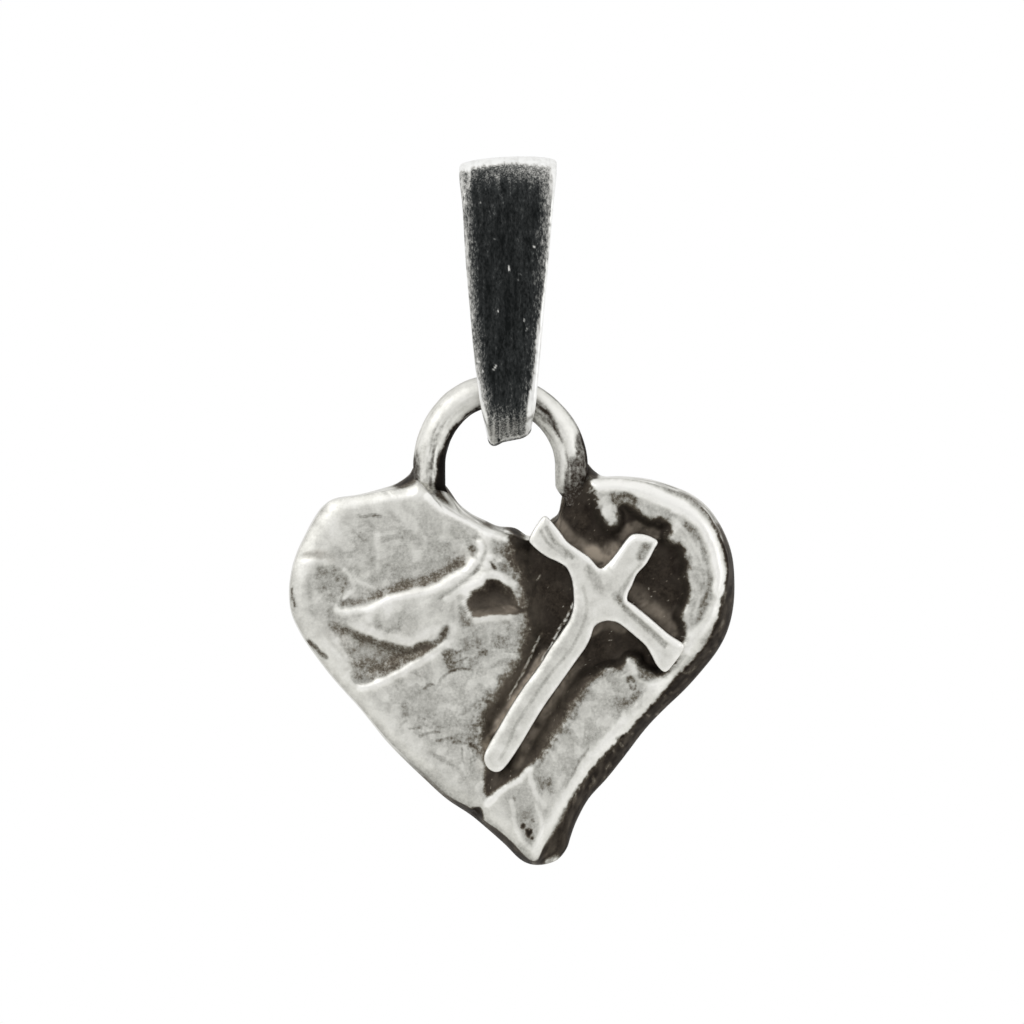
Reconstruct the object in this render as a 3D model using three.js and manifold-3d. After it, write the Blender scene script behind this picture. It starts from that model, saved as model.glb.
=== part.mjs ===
// Heart pendant with a raised cross. A cast heart carries the cross in a sunken
// channel, a bent wire loop stands on its shoulders, and a folded bail hangs the
// loop from a chain. Millimetres, +Z up, the front faces -Y. The origin is the
// spot inside the bail's top bend where the chain bears.

import * as THREE from 'three';
import { mergeVertices } from 'three/addons/utils/BufferGeometryUtils.js';
import Module from 'manifold-3d';

const wasm = await Module();
wasm.setup();
const { degToRad, lerp, smoothstep } = THREE.MathUtils;

// Bail: one tapered strip folded over, its two ends soldered under the loop
const BAIL_TOP_WIDTH = 5.4; // level with the chain seat
const BAIL_WIRE_WIDTH = 3.2; // level with the loop wire
const BAIL_REACH = 12.55; // chain seat down to the middle of the loop wire
const STRIP_THICKNESS = 0.9;
const CHAIN_GAP = 4.8; // front to back inside the top bend
const LAP_LENGTH = 0.95; // soldered lap under the eye
const LAP_TURN = degToRad(52); // how far each leg wraps the eye before the lap
const TIP_SLANT = 0.6; // the tip's right corner sits this much higher
const TIP_ROUND = 0.7;
const BAIL_OFFSET = 0.45; // the bail hangs this far right of the loop's crown

// Loop: round wire bent to an arch with short straight feet
const WIRE_DIAMETER = 1.8;
const LOOP_INSIDE = 6.2; // clear width between the legs
const LOOP_LEG = 0.4; // straight foot below the round part
const RUNNING_CLEARANCE = 0.1; // wire in the bail's eye

// Shoulders: cast bosses on the heart that the loop's feet are soldered to
const SHOULDER_LIP = 0.1; // boss stands out this far round the wire
const SHOULDER_FLARE = 1.3; // outward spread along the heart's edge, at the foot of the boss
const SHOULDER_HEIGHT = 2.4;
const SHOULDER_COVER = 0.1; // foot of the boss under the plate's two faces

// Heart: cast plate with a flat back
const HEART_WIDTH = 25.1;
const HEART_HEIGHT = 22.1;
const FLOOR_THICKNESS = 1.35; // metal behind the sunken channel
const BACK_DEPTH = 1.2; // flat back, behind the middle plane of the loop
const BACK_ROUND = 0.3;
const WALL_STEEP = 0.25; // front edge in from the outline on the left
const WALL_SLOPED = 1; // the same on the right, where the side wall leans
const WALL_LEAN = degToRad(-20); // the way the leaning wall faces
const EDGE_ROUND = 0.7; // width of the rounded front edge
const EDGE_DROP = 0.4;
const FIELD_LIFT = 0.95; // left half above the channel floor
const LEDGE_LIFT = 0.7; // right half beside the channel
const RIM_RISE = 0.45; // crest of the right rim above its ledge
const RIM_INSET = 0.75; // crest in from the front edge
const RIM_REACH = 0.6;
const RIM_BLEND = 1.4; // width of the change from the left half to the right
const BANK_WIDTH = 1.1; // sloping bank of the channel

// Cross: cast bar work, let into the channel floor and soldered
const BAR_WIDTH = 1.35;
const CROSS_HEIGHT = 1.3;
const CROSS_SINK = 0.1; // seat below the channel floor
const SEAT_CLEARANCE = 0.3; // round the cross in its seat
const CROTCH_WEB = 1.2; // where the rounded inner corners start
const CROSS_BEVEL = 0.35;
const GROOVE_WIDTH = 0.7;
const GROOVE_DEPTH = 0.18;
const GROOVE_START = 1.5; // from the middle of the cross
const GROOVE_END = 0.6; // short of the end of each bar
const CROSS_BARS = [
  { name: 'top', bearing: degToRad(40), length: 4.3, end: 1.75, round: 0.45 },
  { name: 'left', bearing: degToRad(-43), length: 5.2, end: 1.65, round: 0.45 },
  { name: 'stem', bearing: degToRad(-149), length: 11.4, end: 1.35, round: 0.6 },
  { name: 'right', bearing: degToRad(-230), length: 5.3, end: 1.75, round: 0.45 },
];

// Shape points of the heart, in percent of its width and height. The zero is on
// the loop's centre line, level with the loop's feet. Closed outlines and the bars
// of the cross go round against the clock, seen from the front.
const OUTLINE = [
  [6.5, -15.3], [0, -13.2], [-8.5, -8.4], [-14.3, -3.1], [-25.1, -3.3], [-38.5, -6.6], [-44.1, -16],
  [-47.4, -29.5], [-43.4, -43], [-33.6, -57.3], [-23.5, -70.7], [-13.4, -81.7], [-3.6, -89.8], [3.8, -97.5],
  [9.2, -100], [14.8, -96.2], [17, -89.3], [23.3, -78.6], [32.7, -65.1], [43.2, -52.4], [50.8, -40.2],
  [52.6, -25.7], [50.1, -14.2], [42.5, -4.8], [31.3, -0.8], [19, -0.8], [13.9, -5.1], [12.5, -10.9],
];
const CHANNEL = [
  [1.8, -10], [4.7, -22.1], [6.5, -33.3], [4.9, -44.8], [0, -55], [-4.9, -63.9], [-4, -81.7], [0.7, -79.4],
  [8.5, -69.7], [16.1, -57.5], [22.4, -49.4], [33.6, -50.4], [41.5, -42.2], [43.4, -29.5], [42.1, -20.9],
  [35.8, -11.2], [28, -6.6], [16.8, -4.1], [12.5, -6],
];
const MIDDLE = [8.9, -43.5]; // every point of the outline is in sight of it
const CROSS_PLACE = [22.4, -31];

// Cast folds: a path, its reach to each side, and its rise or, below zero, its depth
const FOLDS = [
  { name: 'upper fold', reach: 0.5, rise: 0.5,
    path: [[-37.6, -32.8], [-31.3, -33.6], [-20.1, -30], [-11.2, -26.5], [-4.5, -20.9], [-3.6, -16.8]] },
  { name: 'pool above it', reach: 1.5, rise: -0.3,
    path: [[-34.7, -23.2], [-22.4, -24.4], [-11.2, -20.6]] },
  { name: 'tongue', reach: 0.9, rise: 0.22,
    path: [[-30.2, -37.7], [-20.1, -37.7], [-13.4, -34.6]] },
  { name: 'lower hollow', reach: 0.9, rise: -0.75,
    path: [[-33.7, -43.2], [-25.7, -46.8], [-15.5, -42.2]] },
  { name: 'lower fold', reach: 0.5, rise: 0.35,
    path: [[-28.9, -53.4], [-22.4, -49.6], [-12.1, -43.5]] },
  { name: 'pit', reach: 0.75, rise: -0.75,
    path: [[-4, -32.6], [3, -32.8]] },
  { name: 'arch over the pit', reach: 0.45, rise: 0.3,
    path: [[-7.2, -31.6], [-2.7, -25.4], [1.8, -27], [6.7, -34.1]] },
  { name: 'tip ridge', reach: 0.5, rise: 0.25,
    path: [[8.5, -72.3], [1.1, -79.1], [-4, -83.5]] },
  { name: 'tip leaf', reach: 0.6, rise: -0.3,
    path: [[4.5, -81.9], [7.2, -92.6]] },
];

// Fineness of the curved surfaces
const OUTLINE_STEPS = 120;
const RELIEF_RINGS = 36;
const LAST_RING = 0.94;
const CHANNEL_STEPS = 72;
const FOLD_STEPS = 16;
const WIRE_SIDES = 16;
const LOOP_STEPS = 28;
const BEND_STEPS = 28;
const SHOULDER_SIDES = 20;
const SHOULDER_STEPS = 5;
const GROOVE_SIDES = 12;
const BEVEL_STEPS = 3;
const CORNER_STEPS = 5;
const CUT_ROOM = 5; // cutting solids run this far past what they cut

// Places that follow from the sizes above
const wireRadius = WIRE_DIAMETER / 2;
const loopRadius = LOOP_INSIDE / 2 + wireRadius;
const bendRadius = CHAIN_GAP / 2;
const archHeight = (radius, reach) => Math.sqrt(radius ** 2 - reach ** 2);
const wireHeight = archHeight(loopRadius, BAIL_OFFSET); // above the loop's centre, inside the bail
const wireUnderside = archHeight(LOOP_INSIDE / 2, BAIL_OFFSET + BAIL_WIRE_WIDTH / 2);
const eyeRadius = wireHeight - wireUnderside + RUNNING_CLEARANCE;
const bailTip = -BAIL_REACH - eyeRadius - LAP_LENGTH;
const loopCentre = -BAIL_REACH - wireHeight;
const floorLevel = BACK_DEPTH - FLOOR_THICKNESS;
const crossSeat = floorLevel + CROSS_SINK;

// Solids for joining and cutting

function toSolid(geometry) {
  const bare = geometry.clone();
  bare.deleteAttribute('normal');
  bare.deleteAttribute('uv');
  const merged = mergeVertices(bare);
  const vertProperties = new Float32Array(merged.attributes.position.array);
  const triVerts = new Uint32Array(merged.index.array);
  return new wasm.Manifold(new wasm.Mesh({ numProp: 3, vertProperties, triVerts }));
}

function toGeometry(solid) {
  const { vertProperties, triVerts } = solid.getMesh();
  const geometry = new THREE.BufferGeometry();
  geometry.setAttribute('position', new THREE.BufferAttribute(vertProperties, 3));
  geometry.setIndex(new THREE.BufferAttribute(triVerts, 1));
  geometry.computeVertexNormals();
  return geometry;
}

// A profile drawn in Y and Z, drawn out to the given width along X
function extrudeSideways(profile, width) {
  const settings = { depth: width, bevelEnabled: false, curveSegments: BEND_STEPS / 2 };
  const geometry = new THREE.ExtrudeGeometry(profile, settings);
  const [x, y, z] = [new THREE.Vector3(1, 0, 0), new THREE.Vector3(0, 1, 0), new THREE.Vector3(0, 0, 1)];
  geometry.translate(0, 0, -width / 2);
  return geometry.applyMatrix4(new THREE.Matrix4().makeBasis(y, z, x));
}

// A shape drawn in X and Z, drawn out towards the front from the level given in Y
function extrudeForward(shape, level, depth) {
  const settings = { depth, bevelEnabled: false, curveSegments: CORNER_STEPS };
  return new THREE.ExtrudeGeometry(shape, settings).rotateX(Math.PI / 2).translate(0, level, 0);
}

// A closed skin over rings of points that run from the back to the front. Each
// quad is split along its shorter diagonal, so that edges follow the folds.
function loft(rings) {
  const count = rings[0].length;
  const points = rings.flat();
  const flat = (ring) => ring.map(({ x, z }) => new THREE.Vector2(x, z));
  const faces = [];
  for (let ring = 1; ring < rings.length; ring++) {
    for (let i = 0; i < count; i++) {
      const next = (i + 1) % count;
      const [a, b] = [(ring - 1) * count + i, (ring - 1) * count + next];
      const [c, d] = [ring * count + next, ring * count + i];
      const leftward = points[b].distanceTo(points[d]) < points[a].distanceTo(points[c]);
      if (leftward) faces.push(a, b, d, b, c, d);
      else faces.push(a, b, c, a, c, d);
    }
  }
  const front = (rings.length - 1) * count;
  for (const [a, b, c] of THREE.ShapeUtils.triangulateShape(flat(rings[0]), [])) faces.push(c, b, a);
  for (const [a, b, c] of THREE.ShapeUtils.triangulateShape(flat(rings.at(-1)), [])) {
    faces.push(front + a, front + b, front + c);
  }
  return new THREE.BufferGeometry().setFromPoints(points).setIndex(faces);
}

// Bail

function bailProfile() {
  const eye = -BAIL_REACH;
  const taper = Math.asin((bendRadius - eyeRadius) / (BAIL_REACH - bendRadius));
  const outerEye = eyeRadius + STRIP_THICKNESS;
  const outside = new THREE.Shape();
  outside.absarc(0, -bendRadius, bendRadius + STRIP_THICKNESS, -taper, Math.PI + taper);
  outside.absarc(0, eye, outerEye, Math.PI + taper, Math.PI + LAP_TURN);
  const run = (outerEye * Math.cos(LAP_TURN) - STRIP_THICKNESS) / Math.sin(LAP_TURN);
  const lapTop = eye - outerEye * Math.sin(LAP_TURN) - run * Math.cos(LAP_TURN);
  outside.lineTo(-STRIP_THICKNESS, lapTop);
  outside.lineTo(-STRIP_THICKNESS, bailTip);
  outside.lineTo(STRIP_THICKNESS, bailTip);
  outside.lineTo(STRIP_THICKNESS, lapTop);
  outside.absarc(0, eye, outerEye, 2 * Math.PI - LAP_TURN, 2 * Math.PI - taper);
  const inside = new THREE.Path();
  inside.absarc(0, -bendRadius, bendRadius, -taper, Math.PI + taper);
  inside.absarc(0, eye, eyeRadius, Math.PI + taper, 2 * Math.PI - taper);
  outside.holes.push(inside);
  return outside;
}

function bailFront() {
  const top = STRIP_THICKNESS + CUT_ROOM;
  const half = (z) => lerp(BAIL_TOP_WIDTH, BAIL_WIRE_WIDTH, -z / BAIL_REACH) / 2;
  const corner = bailTip + TIP_SLANT;
  const shape = new THREE.Shape();
  shape.moveTo(-half(top), top);
  shape.lineTo(-half(bailTip), bailTip);
  shape.lineTo(half(corner) - TIP_ROUND, bailTip + TIP_SLANT / 2);
  shape.quadraticCurveTo(half(corner), corner, half(corner + TIP_ROUND), corner + TIP_ROUND);
  shape.lineTo(half(top), top);
  return shape;
}

function bailGeometry() {
  const depth = 2 * (bendRadius + STRIP_THICKNESS + CUT_ROOM);
  const strip = toSolid(extrudeSideways(bailProfile(), BAIL_TOP_WIDTH + CUT_ROOM));
  const front = toSolid(extrudeForward(bailFront(), depth / 2, depth));
  return toGeometry(strip.intersect(front));
}

// Loop

class ArchCurve extends THREE.Curve {
  getPoint(t, target = new THREE.Vector3()) {
    const bend = Math.PI * loopRadius;
    const along = t * (bend + 2 * LOOP_LEG) - LOOP_LEG;
    const turn = Math.PI - THREE.MathUtils.clamp(along, 0, bend) / loopRadius;
    const below = Math.min(along, 0, bend - along);
    return target.set(loopRadius * Math.cos(turn), 0, loopRadius * Math.sin(turn) + below);
  }
}

function loopGeometry() {
  const section = new THREE.Shape().absarc(0, 0, wireRadius, 0, 2 * Math.PI);
  const settings = { steps: LOOP_STEPS, extrudePath: new ArchCurve(), curveSegments: WIRE_SIDES / 2 };
  return new THREE.ExtrudeGeometry(section, settings);
}

// Heart

const place = ([across, up]) => new THREE.Vector3(across * HEART_WIDTH / 100, 0, up * HEART_HEIGHT / 100);

function smoothPath(points, closed, steps) {
  const curve = new THREE.CatmullRomCurve3(points.map(place), closed, 'centripetal');
  return curve.getSpacedPoints(steps);
}

function distanceToPath(path, point) {
  const line = new THREE.Line3();
  const nearest = new THREE.Vector3();
  let distance = Infinity;
  for (let i = 1; i < path.length; i++) {
    line.set(path[i - 1], path[i]).closestPointToPoint(point, true, nearest);
    distance = Math.min(distance, nearest.distanceTo(point));
  }
  return distance;
}

function isInside(path, { x, z }) {
  let inside = false;
  for (let i = 1; i < path.length; i++) {
    const [a, b] = [path[i - 1], path[i]];
    const crosses = a.z > z !== b.z > z;
    if (crosses && x < a.x + (z - a.z) / (b.z - a.z) * (b.x - a.x)) inside = !inside;
  }
  return inside;
}

const outline = smoothPath(OUTLINE, true, OUTLINE_STEPS);
const channel = smoothPath(CHANNEL, true, CHANNEL_STEPS);
const middle = place(MIDDLE);
const folds = FOLDS.map((fold) => ({ ...fold, path: smoothPath(fold.path, false, FOLD_STEPS) }));

const outward = outline.map((point, i) => {
  const next = outline[(i + 1) % OUTLINE_STEPS];
  const before = outline[(i + OUTLINE_STEPS - 1) % OUTLINE_STEPS];
  const along = next.clone().sub(before).normalize();
  return new THREE.Vector3(along.z, 0, -along.x);
});

// The front edge lies inside the outline, furthest in where the wall leans
const frontEdge = outline.map((point, i) => {
  const facing = outward[i].x * Math.cos(WALL_LEAN) + outward[i].z * Math.sin(WALL_LEAN);
  return point.clone().addScaledVector(outward[i], -lerp(WALL_STEEP, WALL_SLOPED, Math.max(0, facing)));
});
const backEdge = outline.map((point, i) => point.clone().addScaledVector(outward[i], -BACK_ROUND));

const bell = (share) => Math.exp(-(share ** 2));

// Height of the cast front above the channel floor
function relief(point) {
  const inset = distanceToPath(frontEdge, point);
  const right = smoothstep(point.x, middle.x - RIM_BLEND / 2, middle.x + RIM_BLEND / 2);
  let lift = lerp(FIELD_LIFT, LEDGE_LIFT, right);
  lift += right * RIM_RISE * bell((inset - RIM_INSET) / RIM_REACH);
  for (const { path, reach, rise } of folds) lift += rise * bell(distanceToPath(path, point) / reach);
  if (isInside(channel, point)) lift *= 1 - smoothstep(distanceToPath(channel, point), 0, BANK_WIDTH);
  return lift - EDGE_DROP * Math.max(0, 1 - inset / EDGE_ROUND) ** 2;
}

// Rings from the flat back, over the side wall and across the cast front
function heartRings() {
  const rings = [
    backEdge.map((point) => point.clone().setY(BACK_DEPTH)),
    outline.map((point) => point.clone().setY(BACK_DEPTH - BACK_ROUND)),
  ];
  for (let ring = 0; ring <= RELIEF_RINGS; ring++) {
    const share = LAST_RING * ring / RELIEF_RINGS;
    const points = frontEdge.map((point) => point.clone().lerp(middle, share));
    rings.push(points.map((point) => point.setY(floorLevel - relief(point))));
  }
  return rings.map((ring) => ring.slice(0, OUTLINE_STEPS));
}

// A boss as wide as the wire at its top, spread outward along the heart's edge and
// sunk between the plate's faces at its foot
function shoulderGeometry(across) {
  const radius = wireRadius + SHOULDER_LIP;
  const footRadius = FLOOR_THICKNESS / 2 - SHOULDER_COVER;
  const footMiddle = BACK_DEPTH - FLOOR_THICKNESS / 2;
  const boss = new THREE.CylinderGeometry(radius, radius, SHOULDER_HEIGHT, SHOULDER_SIDES, SHOULDER_STEPS);
  boss.rotateX(Math.PI / 2).translate(0, 0, -SHOULDER_HEIGHT / 2);
  const position = boss.attributes.position;
  for (let i = 0; i < position.count; i++) {
    const down = -position.getZ(i) / SHOULDER_HEIGHT;
    const aside = position.getX(i);
    const flare = aside * across > 0 ? SHOULDER_FLARE : 0;
    position.setX(i, aside * (1 + flare * down ** 2));
    position.setY(i, position.getY(i) * lerp(1, footRadius / radius, down) + footMiddle * down);
  }
  return boss.translate(across, 0, 0);
}

function heartGeometry() {
  const seat = extrudeForward(crossShape(SEAT_CLEARANCE), crossSeat, CUT_ROOM);
  let heart = toSolid(loft(heartRings()));
  for (const across of [-loopRadius, loopRadius]) heart = heart.add(toSolid(shoulderGeometry(across)));
  return toGeometry(heart.subtract(toSolid(seat)));
}

// Cross

// Outline of the cross, grown all round by the given amount
function crossShape(grow) {
  const centre = place(CROSS_PLACE);
  const at = (bearing, along, aside) => [
    centre.x + along * Math.sin(bearing) + aside * Math.cos(bearing),
    centre.z + along * Math.cos(bearing) - aside * Math.sin(bearing),
  ];
  const half = BAR_WIDTH / 2 + grow;
  const shape = new THREE.Shape();
  CROSS_BARS.forEach((bar, i) => {
    const next = CROSS_BARS[(i + 1) % CROSS_BARS.length];
    const gap = (bar.bearing - next.bearing + 2 * Math.PI) % (2 * Math.PI);
    const end = bar.end / 2 + grow;
    const length = bar.length + grow;
    const round = bar.round + grow;
    const first = at(bar.bearing, length - round, end);
    if (i === 0) shape.moveTo(...first);
    else shape.lineTo(...first);
    shape.quadraticCurveTo(...at(bar.bearing, length, end), ...at(bar.bearing, length, end - round));
    shape.lineTo(...at(bar.bearing, length, round - end));
    shape.quadraticCurveTo(...at(bar.bearing, length, -end), ...at(bar.bearing, length - round, -end));
    const crotch = half / Math.tan(gap / 2);
    shape.lineTo(...at(bar.bearing, crotch + CROTCH_WEB, -half));
    shape.quadraticCurveTo(...at(bar.bearing, crotch, -half), ...at(next.bearing, crotch + CROTCH_WEB, half));
  });
  return shape;
}

// A round-bottomed groove worn along the top of one bar
function grooveGeometry({ bearing, length }) {
  const radius = (GROOVE_WIDTH ** 2 / 4 + GROOVE_DEPTH ** 2) / (2 * GROOVE_DEPTH);
  const run = length - GROOVE_END - GROOVE_START;
  const centre = place(CROSS_PLACE);
  const groove = new THREE.CylinderGeometry(radius, radius, run, GROOVE_SIDES);
  groove.rotateX(Math.PI / 2).translate(0, 0, GROOVE_START + run / 2).rotateY(bearing);
  return groove.translate(centre.x, crossSeat - CROSS_HEIGHT - radius + GROOVE_DEPTH, centre.z);
}

// The cross rises straight from its seat and rounds over into its top
function crossRings() {
  const level = (grow, height) => crossShape(grow).getPoints(CORNER_STEPS)
    .map(({ x, y }) => new THREE.Vector3(x, crossSeat - height, y));
  const rings = [level(0, 0)];
  for (let step = 0; step <= BEVEL_STEPS; step++) {
    const turn = step / BEVEL_STEPS * Math.PI / 2;
    const height = CROSS_HEIGHT - CROSS_BEVEL * (1 - Math.sin(turn));
    rings.push(level(-CROSS_BEVEL * (1 - Math.cos(turn)), height));
  }
  return rings;
}

function crossGeometry() {
  let cross = toSolid(loft(crossRings()));
  for (const bar of CROSS_BARS) cross = cross.subtract(toSolid(grooveGeometry(bar)));
  return toGeometry(cross);
}

// Pendant

const silver = new THREE.MeshStandardMaterial({ color: 0xd6d5cf, roughness: 0.3, metalness: 1 });
const blackenedSilver = new THREE.MeshStandardMaterial({ color: 0x34373a, roughness: 0.4, metalness: 1 });

function namedMesh(name, geometry, material) {
  const mesh = new THREE.Mesh(geometry, material);
  mesh.name = name;
  return mesh;
}

const heart = new THREE.Group();
heart.add(namedMesh('heart_plate', heartGeometry(), silver));
heart.add(namedMesh('cross', crossGeometry(), silver));
heart.position.set(-BAIL_OFFSET, 0, loopCentre - LOOP_LEG);

const loop = namedMesh('hanging_loop', loopGeometry(), silver);
loop.position.set(-BAIL_OFFSET, 0, loopCentre);

const pendant = new THREE.Group();
pendant.add(heart, loop, namedMesh('bail', bailGeometry(), blackenedSilver));

export default pendant;
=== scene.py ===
import math

import bpy
import numpy as np
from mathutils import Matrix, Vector


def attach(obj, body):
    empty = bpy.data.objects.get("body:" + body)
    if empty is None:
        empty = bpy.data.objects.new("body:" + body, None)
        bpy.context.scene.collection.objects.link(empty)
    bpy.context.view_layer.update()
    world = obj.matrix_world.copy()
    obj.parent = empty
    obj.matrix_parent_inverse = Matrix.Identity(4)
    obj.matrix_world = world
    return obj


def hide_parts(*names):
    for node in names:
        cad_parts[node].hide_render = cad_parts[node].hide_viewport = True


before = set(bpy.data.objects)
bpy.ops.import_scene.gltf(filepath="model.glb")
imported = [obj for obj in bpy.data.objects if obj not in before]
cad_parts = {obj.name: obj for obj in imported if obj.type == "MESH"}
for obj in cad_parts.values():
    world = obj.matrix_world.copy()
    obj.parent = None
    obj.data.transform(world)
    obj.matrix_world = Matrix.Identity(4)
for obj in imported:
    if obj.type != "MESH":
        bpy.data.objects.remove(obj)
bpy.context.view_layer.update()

MM = 0.001

# Where the photograph's pixels lie on the pendant
PIXELS_PER_MM = 17.8
SEAT_PIXEL = np.array([508.0, 173.0])  # the chain seat, at the origin
FRAME_PIXELS = 1024
FRAME_MIDDLE = np.array([512.0, 512.0])
UPRIGHT = np.array([1, -1])  # rows of a picture run down, Z runs up
LENS, SENSOR = 120, 36
CAMERA_AWAY = FRAME_PIXELS / PIXELS_PER_MM * LENS / SENSOR

# Marks, random grain and paths
MARK_END = 3  # reaches from a mark's line to where it has faded out
CRISP_REACH = 8  # marks up to this many pixels to each side have clear edges
CRISP_FALL, SOFT_FALL = 1.6, 2
GRAIN_TABLE = 97  # random values each way before the grain repeats
NO_LENGTH = 1e-9  # keeps a path's step from dividing by zero
NO_RISE = 1e-6  # an edge of a rod that rises no more than this runs round it
PATH_STEP = 0.02  # millimetres to each side over which a path's direction is measured

# How the values below are written: a pair is a start and an end, between which something grows from none
# to all. Grain is a size and a seed, and in a list also a share. A mix is a level and what each layer that
# its comment names adds to it. Tarnish and the painted light it carries run from 0, bright, to 1, black.

# Heart, depths and heights in millimetres
BACK_DEPTH = 1.2  # flat back, behind the loop's middle plane
BACK_ROUND = 0.3
BACK_DENTS = 0.06
FLOOR_LEVEL = -0.15  # channel floor
FIELD_LIFT = 0.95  # left half above the channel floor
LEDGE_LIFT = 0.72  # right half beside the channel
LUMP_LIFT = 0.03  # lumps of the cast skin
EDGE_DROP = 0.32  # how far the front falls to its edge

# Heart, its mesh and places in pixels
EDGE_ROUND = 12  # width over which the front falls
WIDER_ROUND, WIDER_SIDE = 10, (400, 330)  # how much wider at the far left
LEFT_HALF = 610, 550  # columns from the right half to the left one
LEDGE_HALF, LEDGE_LEAN = (500, 560), 0.35  # columns from the field to the ledge, and how they lean
HEART_CELLS = 272
WALL_RINGS = 8
BACK_RINGS = 12
BACK_HOLE = 0.5  # rings' worth of the back that one face closes
EVEN_TURNS = np.linspace(-0.2, 0.2, 9)  # the inner cells follow an outline evened out over these turns
EVEN_POWER = 4
WALL_POWER = 1.5  # how soon the side wall reaches the rim
SKIN_BLURS, SHADE_BLURS = 5, 24  # rounds of evening out, of the relief and to tell low places from high

# Skin of the casting, in pixels
CLOUD = (15, 5, 0.55), (6.5, 6, 0.45)
SAND = (3.2, 7, 0.6), (1.7, 9, 0.4)
VEINS, VEIN_POWER = (11, 10), 5
WORN_PATCHES, WORN_RANGE = ((9, 18, 1), (4, 29, 0.3)), (0.02, 0.3)
SWIRL = 22, 9, 14, 15  # size, reach and two seeds, as the next two
COARSE_WANDER = 9, 2.2, 1, 2
FINE_WANDER = 3.5, 1.4, 3, 4
SOFT_WANDER = 0.4  # share of the wander that marks have
FIELD_TARNISH = 0.32
MOTTLE_MIX = 0.035, 0.06, 0.03, -0.04, -0.08  # cloud, sand, veins and worn patches
MOTTLE_GAIN, MOTTLE_LIMITS = 2.4, (0.3, 1.4)  # stained places are more mottled and bright ones less
EVEN_TIP, EVEN_ROWS = 0.5, (765, 800)  # the tip is less mottled
EVEN_RIM, EVEN_BAND = 0.6, (18, 4)  # and so is the left rim
LOW_TARNISH = -0.06, 0.1  # least and most that high and low places change it
RUB_MIX, RUB_LIMITS = (0.75, 0.6, 0.35), (0.2, 1.3)  # cloud and sand
HOLLOW_MIX, HOLLOW_EDGE, HOLLOW_SAND = (0.04, 0.06), (-1.5, 2), 0.5  # sand and cloud, on each hollow's level
RAGGED_EDGE, RAGGED_SAND, RAGGED_TARNISH = (3, 0), 2, 0.6  # dark right edge of the front
RAGGED_COLUMNS, RAGGED_ROWS = (540, 580), (480, 560)

# Channel of the heart, in pixels
BANK, LEFT_BANK, BANK_RANGE = 10, 14, (-0.1, 0.95)  # width of its slope, and how much more at the left
BLUR, LEFT_BLUR, LOW_BLUR = 5, 11, 5  # width over which the dark fades, and how much more at two places
BLUR_RANGE, LOW_ROWS, ABOVE_TIP = (-0.6, 0.7), (620, 680), (770, 740)
TIP_CALM, CALM_ROWS = 0.75, (748, 764)  # its edge wanders less at the tip
DARK_MIX = 0.15, 0.25  # sand and cloud, on the share of the fade
CHANNEL_TARNISH = 0.95, 0.08, 0.06  # cloud and sand
CHANNEL_RUB, SLOPE_RUB = (0.03, 0.08), 0.5  # cloud
LINE_MIX = 0.8, 1.3  # sand
SPECK_RARITY, SPECKLED_GAIN, SPECK_EDGE = 0.86, 0.5, 0.09  # bright specks in the crust
SPECK_GRAIN, SPECK_LIGHT = (2.2, 16), 0.5

# Side wall and back of the heart, in pixels
WALL_COLUMNS = 570, 640  # from the left wall to the right one
LEFT_WALL_SEEN, RIGHT_WALL_SEEN = (4, 9), (3, 6)  # from a narrow bright wall to a wide dark one
WALL_BRIGHT, WALL_DARK = 0.1, 0.88
WALL_UPPER, UPPER_ROWS = 0.36, (590, 495)  # brighter towards the top
WALL_OUTER, OUTER_PART, OUTER_ROWS = 0.1, (0.5, 1), (860, 800)  # and towards the back
WALL_STREAKS = (9, 0.7), 8  # waves by radian and by ring, and seed
WALL_STREAK_MIX = 0.1, 0.34  # more towards the top
WALL_SCRATCHES = (26, 1.1), 27
SCRATCH_RANGE, SCRATCH_LIGHT = (0.45, 0.8), 0.3
WALL_RUB, WALL_RUB_SIZE, WALL_RUB_STRETCH, WALL_RUB_SEED = (0.04, 0.12), 5, (1, 0.6), 17
BACK_TARNISH, BACK_STAINS = 0.3, ((46, 20, 0.12), (24, 26, 0.08))
DENT_GRAIN = 36, 19

# Cross, heights in millimetres and widths in pixels
CROSS_SEAT = 0.05  # foot of the cross, just under the channel floor
CROSS_TOP = -1.35
CROSS_VOXEL = 0.055
CROSS_SMOOTHING, CROSS_ROUNDS = 0.5, 3
CROSS_FALL, CROSS_FALL_REACH = 0.1, 8.5  # how far the top falls to its edge, and over what width
CROSS_LUMPS = 0.012
CROSS_MOTTLE = (7, 11, 0.6), (3, 12, 0.4)
RELIEF_POWER, MARK_POWER = 3, 4  # these keep the relief and the marks on top, off the sides
CROSS_TARNISH, CROSS_MOTTLED = 0.18, 0.06
# edges all round are brighter: rubbed, and partly a painted highlight
CROSS_EDGE_WEAR_AND_HIGHLIGHT, CROSS_EDGE_REACH = 0.13, 6
CROSS_FOOT, CROSS_FOOT_TARNISH = (0.2, 0.62), 0.86  # shares of the height, in the channel's crust
CROSS_FOOT_WAVE, CROSS_FOOT_GRAIN = 0.12, (4, 13)

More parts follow.
